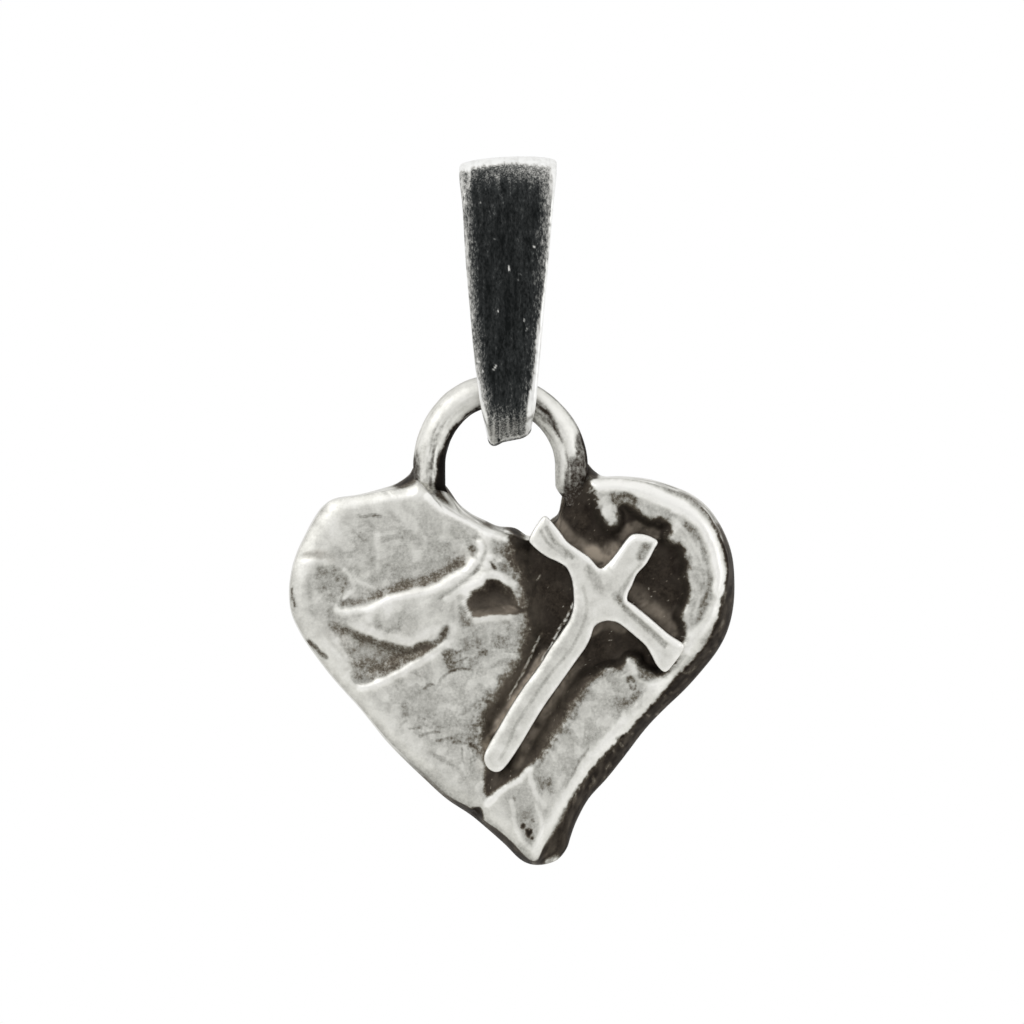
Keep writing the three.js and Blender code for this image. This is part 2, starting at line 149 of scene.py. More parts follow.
# Loop, in millimetres
WIRE_RADIUS = 0.9
LOOP_RADIUS = 4.0
LOOP_MIDDLE = (-0.45, -16.525)
LOOP_FOOT = -18.7  # ends of the legs, inside the heart's shoulders
ARCH_RISE = 0.31  # the arch stands higher than a circle, most at the crest's turn
ARCH_CREST, ARCH_SPAN = math.radians(112), math.radians(45)
ARCH_POINTS = 90
LOOP_SIDES, LOOP_CUTS = 64, (15, 15)
LEFT_LEG = 0.62, 0.4  # shares of the wire's length
HAND_FORGED = (1.7, 21, 0.025), (0.6, 22, 0.012)
FLATS, FLAT_TWIST, FLAT_DEPTH = 3, 4, 0.02  # faint flats that turn along the wire
FOOT_HEIGHTS = -17.5, -18.6  # where the feet grow wider
FOOT_SPREAD, LEFT_FOOT_SPREAD, RIGHT_FOOT_CUT = 0.1, 0.4, 0.6  # outside, and inside at the left and the right
RIGHT_LEG_THINNER = 0.04
LEFT_SINK, LEFT_SINK_HEIGHTS = 0.9, (-17.3, -18.1)  # share of the wire's front that sinks into the heart
RIGHT_SINK, RIGHT_SINK_HEIGHTS = 0.86, (-16.8, -18.5)

# Tarnish and painted light of the loop: heights in millimetres, and places on the wire from -1, inside the
# loop, to 1, outside
WIRE_SPECKS = (0.35, 23, 0.5), (0.16, 28, 0.7)
WIRE_LINES = ((0.7, 7), 24, 0.6), ((1.6, 13), 25, 0.4)  # waves along and round the wire, seed and share
WIRE_TARNISH = 0.16, 0.05, 0.12  # specks and lines
INSIDE_REFLECTION, INSIDE_REFLECTION_MIX = (0.62, 0.88), (0.05, 0.1)  # dark inner side, a painted reflection: specks and lines, on the place
INSIDE_REFLECTION_WIDER = (0.14, (-14.9, -15.8)), (0.18, (-16.4, -17.5)), (-0.1, (-14, -12.6))  # the painted reflection is wider at these heights
# strength of the painted dark reflection in the left leg and in the right one
LEFT_INSIDE_REFLECTION, RIGHT_INSIDE_REFLECTION = 0.8, 0.12
LEFT_LINE, LEFT_LINE_WIDTH, LEFT_LINE_HEIGHTS = -0.26, 0.3, (-13.2, -15.5)  # grey line on the left leg
LEFT_LINE_WAVE, LEFT_LINE_GRAIN, LEFT_LINE_MIX = 0.12, (2, 26), (0.26, 0.5, 0.2)  # lines and specks
# Dark streak on the right leg, which shifts outwards and widens over the arch
RIGHT_STREAK, STREAK_SHIFT, STREAK_WAVE = -0.26, 0.42, 0.12
STREAK_WIDTH, STREAK_WIDER, ARCH_HEIGHTS, STREAK_MIX = 0.1, 0.26, (-14.6, -12.7), (0.42, 0.14)  # lines
OUTER_SHADE, OUTER_PLACE = 0.3, (0.84, 0.98)  # outer side of the right leg
INNER_SHADE, INNER_PLACE, INNER_HEIGHTS = 0.18, (0.35, 0), (-15, -13.2)  # inner half of the arch's right
RUB_AND_HIGHLIGHT, RUB_AND_HIGHLIGHT_PLACE, RUB_AND_HIGHLIGHT_WIDTH = 0.2, 0.45, 0.3  # bright line on the right leg: rubbed, and partly a painted highlight of the fill lamp
BROWN_HEIGHTS, BROWN_MIX = (-15.6, -16.4), (0.3, 0.2)  # brown feet: specks and lines, on the height
BROWN_LOWER, BROWN_OUTSIDE = 1.1, (0.1, 0.8)  # how much lower the brown lies outside the right leg
LEFT_BROWN, LEFT_BROWN_PLACE = 0.5, (0.3, 0.8)
RIGHT_BROWN, RIGHT_BROWN_PLACE, RIGHT_BROWN_WAVE = (0.46, 0.1), (-0.45, 0.1), 0.2  # specks
# Where the right leg goes into the heart: a shade, a dark line below it, and how far both stay from black
ROOT_SHADE, ROOT_HEIGHTS, ROOT_PLACE, ROOT_SPECKS = 0.4, (-17.4, -18), (-0.75, -0.3), 0.3
ROOT_LINE, ROOT_LINE_HEIGHTS = 0.8, (-17.9, -18.15)
ROOT_LIMIT, ROOT_LIMIT_HEIGHTS = 0.27, (-16.6, -17.4)

# Bail, in millimetres
STRIP_THICKNESS = 0.9
STRIP_ROUND = 0.2
CHAIN_BEND = 2.4
EYE_LEVEL = -12.55
EYE_RADIUS = 1.749
BAIL_TIP = -15.249
LAP_LENGTH = 0.5
LAP_TURN = math.radians(52)
EYE_POINTS, BEND_POINTS = 14, 40
BAIL_SIDES, BAIL_CUTS = 180, (15, 20)
NARROW_SIDE = 0.07  # share of the points round the strip on one narrow side
BAIL_HALF_TOP = 2.7
BAIL_HALF_WIRE = 1.6
BAIL_BULGE = 0.1  # the left edge is a little rounder than a straight taper
BULGE_STARTS, BULGE_ENDS = (-1.5, -6), (-13, -10)
FILED_FROM = -12.8  # below this the tip is filed narrower, at the left and at the right
TIP_INSETS = 0.26, 0.08
TIP_HEIGHTS = EYE_LEVEL - 0.7, BAIL_TIP
TIP_SLANT = 0.5
TIP_CORNERS = (1, 0.26, 0.5), (-1, 0.3, 0.65)  # side, depth of the cut and the share across where it starts
TIP_STEP, TIP_STEP_PLACE = 0.1, (-0.6, -0.2)
BACK_TIP = 0.1  # the back layer shows below the front one
CROWN_SLANT, CROWN_ROUND, CROWN_CORNERS, CORNER_POWER = 0.12, 0.2, 0.12, 6
STRIP_DENTS, STRIP_DENT_GRAIN = 0.02, (2.2, 31)

# Wear of the bail, in pixels: heights in the picture, and there the widths of the speckled band on the left
# edge, the bright line on that edge and the bright right edge
WORN_LEFT = (160, 270, 330, 380, 410, 430), (15, 13, 13, 14, 19, 15)
BRIGHT_LEFT = (170, 250, 300, 340, 365, 395, 415, 440), (-3, -3.5, -1.5, -0.5, 0.5, 3.5, 5.5, 4)
BRIGHT_RIGHT = (
    (170, 200, 230, 300, 322, 345, 390, 410, 425, 440),
    (5, 1.5, 1.5, 2.5, 4.5, 4.5, 6, 8, 8, 5),
)
# Brushed grain of the strip
BRUSH_LINES = (9, 0.6), 32  # waves by millimetre, across and along, and seed
BRUSH_HAIRS = (13, 0.6), 34
BRUSH_GRIT = (11, 5), 33
STRIP_DARK_FACE = 0.89, 0.08, 0.06  # dark faces of the strip: lines and grit
# How bright each kind of wear and painted highlight is, how it fades, and how far the brushed grain shifts
# its edge
WEAR_AND_HIGHLIGHT = 0.9  # how far full wear and the painted highlights lighten the dark face
BRIGHT = 0.97
LEFT_FADE, LEFT_HAZE, LEFT_MIX = (3, -2), 2, (0.9, 0.1)  # bright left line: grit
BAND_LEVEL, BAND_LOWER, BAND_ROWS = 0.62, 0.06, (240, 310)  # speckled band, greyer lower down
BAND_HAZE, BAND_MIX = 3, (0.4, 0.3)  # lines and grit, on the band's level
RIGHT_FADE, RIGHT_HAZE = (3, -1.5), 1.5  # bright right edge
SHEEN_FADE, SHEEN_HAZE = (16, 0), 4  # painted grey sheen inside the right edge
SHEEN_ROWS, SHEEN_MIX = (340, 180), (0.18, 0.43, 0.35)  # upper part and lines
CROWN_HEIGHT, CROWN_FALL, CROWN_TILT = 164, 8, 1.5  # bright line along the crown: worn, and partly a painted highlight where the bend turns up to the light
CROWN_FADE, CROWN_HAZE = (4, -3), 2
GLOW_FADE, GLOW_HAZE = (30, -4), 6  # grey glow below the crown, a painted highlight that grows as the strip turns up into the bend
GLOW_MIX = 0.44, 0.2, 0.25, 0.25  # right side, lines and grit
TIP_ROWS, TIP_HAZE, TIP_MIX = (396, 438), 6, (0.54, 0.3, 0.08)  # brushed tip: hairs and grit
BEAD_FADE, SHADED_BACK_BEAD = (10, 6), 0.3  # bright bead on the tip's end; on the back layer it stays dull, a painted shadow under the front layer's bead

# Paths on the heart, in photograph pixels
OUTLINE = [
    (529, 536), (515, 528), (498, 526), (484, 520), (470, 513), (457, 502), (446, 486), (430, 470),
    (415, 466), (409, 474), (400, 481), (389, 486), (360, 494), (335, 498), (322, 506), (312, 520),
    (303, 537), (296, 552), (291, 568), (288, 590), (290, 612), (298, 631), (310, 650), (333, 680),
    (360, 710), (384, 740), (403, 760), (424, 780), (446, 800), (470, 816), (487, 830), (505, 846),
    (519, 860), (531, 866), (545, 866), (558, 861), (567, 850), (571, 838), (577, 822), (589, 800),
    (607, 780), (623, 760), (646, 730), (665, 710), (685, 691), (703, 671), (718.5, 651), (729, 630),
    (734.5, 606), (735.5, 580), (733, 555), (725, 532), (712, 511), (697, 497), (679, 488), (650, 479),
    (622, 476), (604, 476), (594, 470), (585, 461), (574, 464), (566, 478), (562.5, 495), (560.5, 507),
    (557.5, 514.5), (551, 519.5), (543, 530),
]
FRONT_EDGE = [
    (528, 541), (513, 535.5), (498, 531.5), (482, 526.5), (468, 519), (455, 511), (443, 503),
    (434, 497.5), (427, 489), (420, 482.5), (413, 486), (404, 489), (389, 490.5), (360, 496), (336, 500),
    (324, 508), (315, 521), (306, 538), (299, 553), (294, 569), (291, 590), (293, 611), (301, 629),
    (313, 648), (336, 678), (362, 707), (387, 737), (406, 755), (428, 775), (449, 794), (473, 808),
    (486, 820), (499, 829), (513, 841), (524, 853.5), (531.5, 859), (537, 858.5), (540, 853), (544, 843),
    (551, 832), (560, 817), (575, 793), (590, 771), (609.5, 750), (632, 727), (656, 701), (675, 679),
    (692.5, 661), (708.5, 640), (718.5, 617), (722.5, 595), (727, 577), (726, 556), (717.5, 533),
    (706.5, 513), (692, 500.5), (674, 491.5), (648, 483), (622, 479), (601, 479), (586, 481.5),
    (572, 488), (566, 496), (564, 508), (557, 522), (545, 533),
]
MIDDLE = np.array([540.0, 645.0])  # every point of both outlines is in sight of it

CHANNEL = [
    (507, 536), (509.5, 552), (512, 565), (521, 587), (523, 608), (525.5, 622), (522, 638), (515, 656),
    (505, 675), (494, 692), (484.5, 704), (479, 718), (477, 731), (480, 743), (484.5, 756), (484.5, 769),
    (483, 781), (487, 795), (497, 789), (512, 780), (521, 774), (526, 767), (543, 759), (552, 745),
    (559, 732), (570, 716), (577, 700), (588, 682), (605, 670), (621, 666), (631, 657), (638, 667.5),
    (649, 674), (661, 675), (672, 665), (678, 650), (685, 637), (686, 626), (681.5, 614.5), (686, 603.5),
    (690.5, 590), (687, 577), (689, 563), (684, 550), (679, 543), (670, 541), (669, 535), (672.5, 528),
    (664, 519), (652, 519), (643, 514), (633, 506), (621, 502), (614.5, 506), (616.5, 518), (611, 527),
    (605, 518), (600.5, 507), (597, 495), (591.5, 486), (584, 474), (550, 490), (545, 510), (528, 520),
    (515, 526),
]
RECESS = [
    (328, 621), (345, 623), (353, 627), (362, 632), (370, 634.5), (382, 639), (395, 642), (405, 645),
    (413, 646), (420, 641), (428, 639), (435, 639), (440, 633), (443, 626), (447, 624), (449, 629),
    (447, 637), (440, 644), (425, 654), (410, 663), (395, 671), (381, 677), (372, 683), (362, 685),
    (355, 683), (351, 674), (352, 667), (349, 658), (344, 648), (340, 639), (333, 631),
]
PIT = [
    (468, 597), (470, 590.5), (478, 587), (483, 584), (486, 579), (490, 578), (500, 579.5), (509, 586.5),
    (515.5, 594.5), (518.5, 603), (523, 606.5), (533, 609), (525, 611.5), (515, 614.5), (505, 614),
    (490, 614.5), (480, 616), (473, 616), (470, 611), (466, 602),
]
SMALL_POOL = [
    (316, 567), (320, 563.5), (330, 562.5), (338, 565.5), (345, 572), (348.5, 579), (348, 588),
    (343, 594), (344, 602), (336, 602), (326, 600.5), (319, 592), (315.5, 580),
]
NOTCH = [(468, 808), (476, 806), (482, 808), (484, 815), (482, 819), (476, 815), (470, 811)]
# Outline, pixels from its edge to its floor, depth in millimetres and tarnish of each hollow
HOLLOWS = ((RECESS, 12, 0.4, 0.19), (PIT, 12, 0.4, 0.56), (SMALL_POOL, 6, 0.1, 0.1), (NOTCH, 4, 0.5, 0.55))
CROSS = [
    (544, 516), (550, 520), (560, 532), (567, 541.5), (578, 549.5), (589, 557), (597, 566.5),
    (602, 567.5), (610, 560), (616.5, 552), (623, 543), (630, 535), (638, 533.5), (649, 536),
    (657, 541.5), (653.5, 549), (645.5, 563.5), (636, 574), (631.5, 585), (627.5, 593), (627, 600),
    (633, 604), (650, 618), (668, 633.5), (682, 643), (682, 649), (674.5, 660.5), (664.5, 671),
    (656, 664.5), (651, 655), (644.5, 644.5), (632.5, 634), (619.5, 623.5), (611, 620.5), (602, 621),
    (594, 626), (590.5, 636), (585, 647), (573.5, 663), (558, 685), (544.5, 704), (532, 724),
    (519.5, 745), (505.5, 765), (497, 770.5), (488.5, 767), (484, 757), (488, 745), (499, 726),
    (511, 705), (525, 684), (539, 665), (551.5, 645), (559.5, 634), (570, 617), (573, 604), (573, 592),
    (571.5, 580), (566.5, 568), (559, 562.5), (544, 555), (530.5, 543.5), (529.5, 537.5), (536.5, 525),
]

# Marks: path, reach to each side in pixels, rise in millimetres and change of tarnish, which also carries
# painted light
FOLDS = {  # folds, grooves, cracks and stains of the heart's cast front, and some painted shade
    "inner fold": (
        [(338, 610), (347, 611), (358, 609), (372, 605.5), (386, 599.5), (400, 595), (415, 592.5),
         (430, 589.5), (445, 583), (460, 575), (470, 567), (477, 558), (481, 548),
         (480, 541)], 3.6, 0.1, -0.2),
    "plateau under the fold": (
        [(368, 614), (384, 609), (402, 602), (430, 597), (450, 588)], 6, 0.06, -0.08),
    "outer fold": (
        [(448, 598), (458, 592), (470, 584), (480, 575), (487, 563), (489.5, 551), (488.5, 541),
         (484, 534)], 3.4, 0.03, -0.14),
    "hairpin groove": (
        [(440, 598), (452, 590), (465, 581), (475, 572), (481.5, 563), (485.3, 553), (485, 545),
         (481.5, 538.5), (475, 537.5)], 1.6, -0.05, 0.13),
    "hairpin pocket": ([(472, 548), (475, 551), (475, 555)], 2.8, -0.06, 0.26),
    "light smudge": ([(455, 545), (464, 548)], 4, 0.02, -0.1),
    "stain along the fold": (
        [(346, 604), (355, 604), (368, 600), (385, 592), (405, 585), (430, 579), (447, 571),
         (461, 561)], 4.4, -0.05, 0.2),
    "grey under the fold": ([(334, 612), (348, 617), (362, 615)], 5, 0, 0.1),
    "stain below the rings": ([(364, 597), (372, 595), (379, 592)], 5, 0, 0.07),
    "grey beside the island": ([(350, 538), (359, 552)], 8, 0, 0.07),
    "upper pool": ([(352, 590), (385, 578), (420, 573), (446, 562), (464, 549)], 18, -0.2, 0.02),
    "upper field": ([(375, 530), (420, 535), (450, 540)], 28, -0.1, 0.02),
    "light under the top rim": (
        [(348, 515), (400, 510), (432, 515), (460, 529), (484, 543)], 10, 0, -0.05),
    "first ring": (
        [(345, 569), (350, 575), (354, 582), (355.5, 589), (350, 593.5), (345, 598)], 1.9, 0.05, -0.16),
    "second ring": ([(354, 572), (359, 580), (366, 584), (376, 588)], 1.5, 0.03, -0.12),
    "crest above the small pool": ([(299, 562), (314, 562), (331, 561)], 2.6, 0.03, -0.04),
    "rim groove": ([(311, 572), (310.5, 590), (313, 612)], 2.2, -0.03, 0.06),
    "first island": ([(379, 535), (378, 552), (379, 568)], 2.6, 0.02, -0.1),
    "line beside it": ([(384, 548), (386, 562)], 1.6, 0.02, -0.06),
    "second island": ([(362, 565), (366, 575)], 3, 0.02, -0.08),
    "third island": ([(412, 545), (417, 552), (416, 559)], 3, 0.03, -0.1),
    "grey patch": ([(364, 526), (369, 538)], 6, -0.02, 0.06),
    "tongue": ([(352, 615), (380, 620), (410, 622), (436, 610)], 15, 0.1, -0.06),
    "hollow in the tongue": ([(377, 616), (379, 625), (387, 631), (397, 629), (401, 621)], 3, -0.04, 0.1),
    "lip of the tongue": (
        [(352, 620), (368, 629), (386, 635), (404, 640), (414, 640.5), (426, 634.5),
         (437, 628)], 3.6, 0.06, -0.12),
    "shade under the lip": (
        [(346, 631), (365, 637), (385, 643.5), (405, 648.5), (420, 646.5), (436, 643),
         (445, 629)], 3, 0, 0.12),
    "lower fold": (
        [(362, 687), (375, 685), (386, 680.5), (396, 675), (406, 670), (416, 664), (426, 658),
         (436, 652), (446, 644)], 3.4, 0.1, -0.16),
    "curl at its end": ([(451, 622), (454, 630), (451, 640)], 2.4, 0.05, -0.1),
    "arch over the pit": (
        [(463, 601), (467, 594), (472, 588), (480, 583.5), (486, 576.5), (495, 574.5), (505, 577.5),
         (513, 583.5), (520, 591), (525, 600), (525, 605)], 3.4, 0.08, -0.2),
    "left edge of the pit": ([(464.5, 601), (468, 607), (471, 613)], 1.8, 0.04, -0.24),
    "sill of the pit": ([(476, 619), (492, 616.5), (508, 616)], 3.2, 0.05, -0.13),
    "groove beside the pit": ([(462, 598), (463, 610), (467, 623)], 3.4, -0.06, 0.16),
    "hollow above the arch": ([(495, 540), (500, 546), (504, 553)], 6.5, -0.08, 0.11),
    "crest over the lumps": (
        [(490, 557), (495, 555.5), (499, 560), (504, 558.5), (508, 562)], 1.5, 0.03, -0.12),
    "first speck above the arch": ([(491, 562), (493, 564.5)], 1.3, -0.04, 0.34),
    "second speck above the arch": ([(493.5, 566), (495.5, 569)], 1.4, -0.04, 0.36),
    "speckles above the arch": ([(503, 566), (512, 577)], 4, -0.02, 0.2),
    "lumps over the arch": ([(500, 563), (508, 569), (515, 577)], 4, 0.04, -0.05),
    "left rim": (
        [(300, 560), (298, 590), (304, 622), (320, 645), (345, 675), (380, 713),
         (415, 751)], 12, 0.06, -0.1),
    "upper left corner": ([(334, 512), (322, 532), (311, 552)], 15, 0.03, -0.08),
    "root of the wire": ([(418, 484), (424, 492)], 9, 0.06, -0.12),
    "top rim": ([(333, 504), (362, 500), (394, 494.5), (416, 493)], 4.8, 0.03, -0.12),
    "top rim by the loop": (
        [(428, 497), (440, 506.5), (455, 514.5), (470, 522.5), (487, 531),
         (505, 538.5)], 3.3, 0.06, -0.32),
    "right crest": (
        [(588, 484), (604, 485), (620, 484.5), (640, 490), (660, 498), (681, 507.5), (699, 522.5),
         (710.5, 542), (716.5, 562), (719.5, 578), (718, 590)], 5.5, 0.14, -0.32),
    "crest below the bend": (
        [(718, 590), (716, 603), (709.5, 616), (697, 633), (683, 651), (664, 674)], 5.5, 0.06, -0.22),
    "light on the shoulder": ([(636, 488), (656, 495), (678, 506)], 6, 0, -0.16),
    "lower right crest": (
        [(664, 674), (652, 690), (641, 705), (626, 722), (606, 745), (588, 766), (573, 789), (558, 813),
         (546, 835), (539, 850)], 6.6, 0.06, -0.22),
    "right groove": (
        [(686, 527), (694, 538), (702.5, 553), (709, 571), (710.5, 586), (708, 601),
         (702, 616)], 5.6, -0.06, 0.1),
    "foot of the right groove": ([(709, 592), (706, 602), (701, 613)], 6.5, -0.02, 0.05),
    "inner ridge": (
        [(672, 517), (684, 531), (693.5, 546), (701.5, 561), (706, 576), (704.5, 588), (698, 601),
         (694, 615)], 1.6, 0.04, -0.12),
    "ledge": (
        [(645, 500), (664, 512), (682, 535), (692, 560), (696, 585), (690, 612),
         (684, 630)], 11, 0, 0.02),
    "speckled notch": ([(615, 499), (624, 497), (632, 501)], 5.2, -0.05, 0.32),
    "drip": ([(600, 492), (606, 506), (611, 520)], 6.5, 0.05, 0.01),
    "lower right field": ([(652, 682), (615, 700), (585, 735), (560, 765)], 13, -0.08, 0),
    "line inside the crest": ([(587, 748), (578, 762), (570, 778), (565, 787)], 1, -0.02, 0.1),
    "spur": ([(628, 661), (634, 671), (642, 678.5), (651, 681.5), (660, 680)], 3, 0.05, -0.1),
    "first pit beside the spur": (
        [(627, 681), (627.5, 677.5), (631, 676.5), (633, 680)], 1.3, -0.04, 0.24),
    "second pit beside the spur": (
        [(629.5, 683.5), (631, 687.5), (634, 688), (635, 685)], 1.3, -0.04, 0.24),
    "patch by the crest": ([(624, 701), (634, 701), (642, 698)], 9, -0.03, 0.15),
    "shade under the arm": ([(641, 674), (652, 678), (664, 675), (674, 664), (681, 655)], 3.4, 0, 0.27),
    "nick in the crest": ([(616, 737), (622, 735)], 1.4, -0.03, 0.36),
    "tip ridge": (
        [(537, 760.5), (527, 767), (522, 774), (513, 781), (503, 787), (495, 794),
         (487, 803)], 3, 0.1, -0.24),
    "face of the tip": ([(494, 804), (502, 820), (514, 837)], 7, 0, -0.1),
    "tip fold": ([(530, 768), (531.5, 780), (536.5, 793), (545, 804)], 2.4, 0.06, -0.14),
    "tip facet": ([(540, 765), (543, 775), (548, 785)], 7, -0.06, 0.12),
    "light in the facet": ([(556, 777), (557, 785)], 3.5, 0, -0.08),
    "tip leaf": ([(525, 816), (528, 828), (530, 838)], 6, -0.08, 0.1),
    "left edge of the leaf": (
        [(511, 800), (514, 815), (518, 830), (524, 840), (530, 846)], 1.8, 0.04, -0.12),
    "right edge of the leaf": ([(536, 803), (541, 818), (540.5, 832), (535, 843)], 1.8, 0.04, -0.12),
    "first leaf speck": ([(522, 825), (524, 823)], 1.3, -0.02, 0.5),
    "second leaf speck": ([(527, 828), (528, 833)], 1.5, -0.02, 0.5),
    "third leaf speck": ([(530.5, 828), (530.5, 831)], 1.1, -0.02, 0.45),
    "fourth leaf speck": ([(531.5, 836), (532, 836.5)], 1.2, -0.02, 0.45),
    "fifth leaf speck": ([(514, 796), (515, 799)], 1.2, 0, 0.16),
    "sixth leaf speck": ([(531, 818), (533, 819)], 0.9, 0, 0.3),
    "crack one": (
        [(470, 668), (460, 668), (452, 670), (446, 674), (441, 680), (440, 684), (432, 684),
         (424, 688)], 1.1, -0.02, 0.18),
    "crack two": ([(400, 726), (407, 720)], 1.1, -0.02, 0.13),
    "crack three": ([(410, 727.5), (420, 727)], 1.1, -0.02, 0.15),
    "crack four": ([(420, 735), (430, 732), (440, 731)], 1.1, -0.02, 0.17),
    "crack five": ([(437, 739.5), (445, 738), (452, 737)], 1.3, -0.02, 0.15),
    "crack six": ([(455, 741), (468, 742), (476, 746), (481, 751)], 1.4, -0.02, 0.15),
    "crack seven": ([(462, 748), (463, 757), (466, 762), (475, 759)], 1, -0.02, 0.08),
    "crack eight": ([(455, 653), (468, 648)], 1.1, 0, 0.15),
    "crack nine": ([(455, 662), (468, 657.5)], 1.1, 0, 0.15),
    "soft line": ([(430, 750), (440, 757), (450, 762), (460, 770), (464, 777)], 1.8, -0.03, 0.09),
    "grey beside the channel": ([(458, 650), (476, 650), (492, 649), (508, 642)], 9, 0, 0.16),
    "grey above the cracks": ([(422, 724), (450, 728), (478, 735)], 9, 0, 0.08),
    "light at the end of the recess": ([(348, 637), (354, 641)], 4.5, 0, -0.18),
    "light in the recess": ([(361, 655), (372, 648)], 6, 0, -0.09),
    "shade in the recess": ([(376, 672), (395, 662), (412, 656), (426, 648)], 6, 0, 0.1),
    "rough patch": ([(447, 652), (449, 660), (452, 667)], 4, -0.04, 0.17),
    "smudge": ([(404, 705), (406, 713)], 4, -0.03, 0.1),
    "first pit under the rim": ([(360, 515), (361.5, 516.5)], 1.2, -0.02, 0.22),
    "second pit under the rim": ([(366, 516.5), (368.5, 516)], 1.2, -0.02, 0.25),
    "third pit under the rim": ([(373.5, 516), (375, 514)], 1.2, -0.02, 0.25),
    "fourth pit under the rim": ([(378, 515), (379.5, 514.5)], 1.2, -0.02, 0.22),
    "stain on the rim": ([(306, 556), (318, 555), (332, 557)], 2.8, -0.03, 0.14),
    "rim nick": ([(293, 588), (293.5, 597), (296, 606)], 1.1, -0.05, 0.34),
    "lower nick": ([(309, 641), (320, 650), (326, 656)], 2.1, -0.06, 0.36),
}
WALL_MARKS = {  # shades and streaks on the heart's side wall
    "shade left of the wire": ([(399, 485), (408, 479), (415, 470)], 6, 0, 0.35),
    "shade right of the wire": ([(437, 487), (441, 493), (446, 499), (451, 504)], 6.5, 0, 0.36),
    "root of the wire": ([(422, 475), (426, 483), (430, 490)], 5, 0, -0.6),
    "shade on the lower left": ([(425, 782), (450, 803), (475, 818)], 5, 0, 0.3),
    "light at the upper right": (
        [(625, 478), (655, 483), (685, 493.5), (703, 508), (712, 519)], 6.5, 0, -0.3),
    "shade under the tip": ([(522, 857), (531, 862), (541, 863)], 3.5, 0, 0.5),
    "shade beside the right leg": ([(584, 463), (592, 471), (602, 477)], 6, 0, 0.4),
    "streak by the loop": ([(441.5, 488), (447, 498), (455, 506)], 1.5, 0, -0.6),
    "streak beside the cross": ([(506, 532), (513, 536), (520, 541)], 1.8, 0, -0.5),
    "light inside the loop": ([(456, 506), (467, 514), (481, 520)], 4, 0, -0.3),
    "foot of the tip": ([(536, 866), (546, 865), (557, 861)], 4.2, 0, -0.62),
}
LEDGE_LINES = {  # bright lines and specks in the channel beside the cross
    "fleck in the channel": ([(536.5, 580), (538.5, 578), (540, 575.5)], 0.9, 0.01, -0.4),
    "ledge line": ([(573, 603), (567, 616), (559, 631), (551, 646), (542, 659)], 1.1, 0.05, -0.8),
    "row of dashes": ([(541.5, 634), (533, 651), (525, 667), (516, 684), (508, 700)], 1.1, 0.04, -0.8),
    "bevel by the stem": ([(543, 660), (528, 681), (511, 707), (496, 732)], 4, 0.4, -0.12),
    "specks right of the stem": ([(571, 670), (561, 684), (550, 699), (541, 713)], 3, 0.1, -0.2),
}
SPECKLED = {  # places where more bright specks show through the dark: the last value is how many
    "beside the right leg": ([(574, 490), (588, 489), (598, 502)], 8, 0, 1.1),
    "end of the right arm": ([(683, 640), (678, 655), (668, 670)], 5, 0, 0.6),
}
RUBBED = {  # places where the dark is rubbed down to a smooth taupe: the last value is how far
    "over the fork of the arms": ([(595, 554), (604, 559), (614, 552)], 8, 0, 1.05),
    "above the left arm": ([(556, 524), (567, 536), (580, 546), (590, 553)], 6, 0, 0.5),
    "round the top arm": ([(622, 534), (637, 528), (653, 534)], 5, 0, 0.5),
    "above the right arm": ([(635, 592), (647, 605), (660, 617), (673, 630)], 7, 0, 0.42),
    "left wall of the stem": ([(545, 656), (527, 684), (508, 713), (489, 743)], 4.5, 0, 0.9),
    "floor beside it": ([(519, 662), (505, 688), (492, 714)], 7, 0, 0.16),
    "right wall of the stem": ([(580, 660), (558, 694), (535, 730), (516, 763)], 4, 0, 0.36),
    "under the arms": ([(592, 632), (600, 625), (610, 624), (622, 629)], 4, 0, 0.4),
    "left of the stem": ([(497, 716), (489, 742), (486, 764)], 7, 0, 0.2),
    "pit floor": ([(474, 606), (492, 602), (510, 604)], 9, 0, 0.2),
    "foot of the sill": ([(476, 613), (494, 611), (514, 609)], 3, 0, 0.3),
    "along the fold": (
        [(362, 598), (385, 591), (410, 587), (434, 578), (452, 568), (466, 557)], 7, 0, 0.1),
    "recess floor": ([(345, 640), (380, 655), (420, 648)], 14, 0, 0.12),
    "rim stain": ([(309, 556), (320, 554), (331, 557)], 4, 0, 0.25),
}
DINGS = {  # dents and streaks that show bright metal on the bail, and one dark nick
    "drop": ([(509, 267), (509, 271)], 0.9, 0, -0.85),
    "slanted nick": ([(496, 366), (493, 370)], 0.7, 0, -0.7),
    "notch in the left edge": ([(477, 361), (479, 362)], 0.8, 0, -0.32),
    "right fleck": ([(524, 318), (524, 321)], 0.7, 0, -0.7),
    "right fleck below it": ([(526, 330), (527, 329)], 0.7, 0, -0.55),
    "dot one": ([(534, 246), (534, 247)], 0.8, 0, -0.85),
    "dot two": ([(480, 203), (480, 203.5)], 0.7, 0, -0.45),
    "dot three": ([(489, 211), (489, 211.5)], 0.6, 0, -0.4),
    "dot four": ([(494, 239), (496, 239)], 0.6, 0, -0.35),
    "dot five": ([(519, 274), (521, 274)], 0.6, 0, -0.35),
    "dot six": ([(518, 280), (518, 280.5)], 0.7, 0, -0.4),
    "dot seven": ([(498, 310), (498, 311)], 0.7, 0, -0.75),
    "dot eight": ([(496, 347), (496.5, 347)], 0.7, 0, -0.5),
    "dot nine": ([(483, 371), (483, 371.5)], 0.7, 0, -0.5),
    "streak by the crown": ([(497, 176), (500, 190), (503, 203)], 1.6, 0, -0.16),
    "streak at the left": ([(469, 166), (469, 178), (468.5, 188)], 1.5, 0, -0.36),
    "nick in the tip": ([(499, 440), (499, 446)], 1.0, 0, 0.6),
}
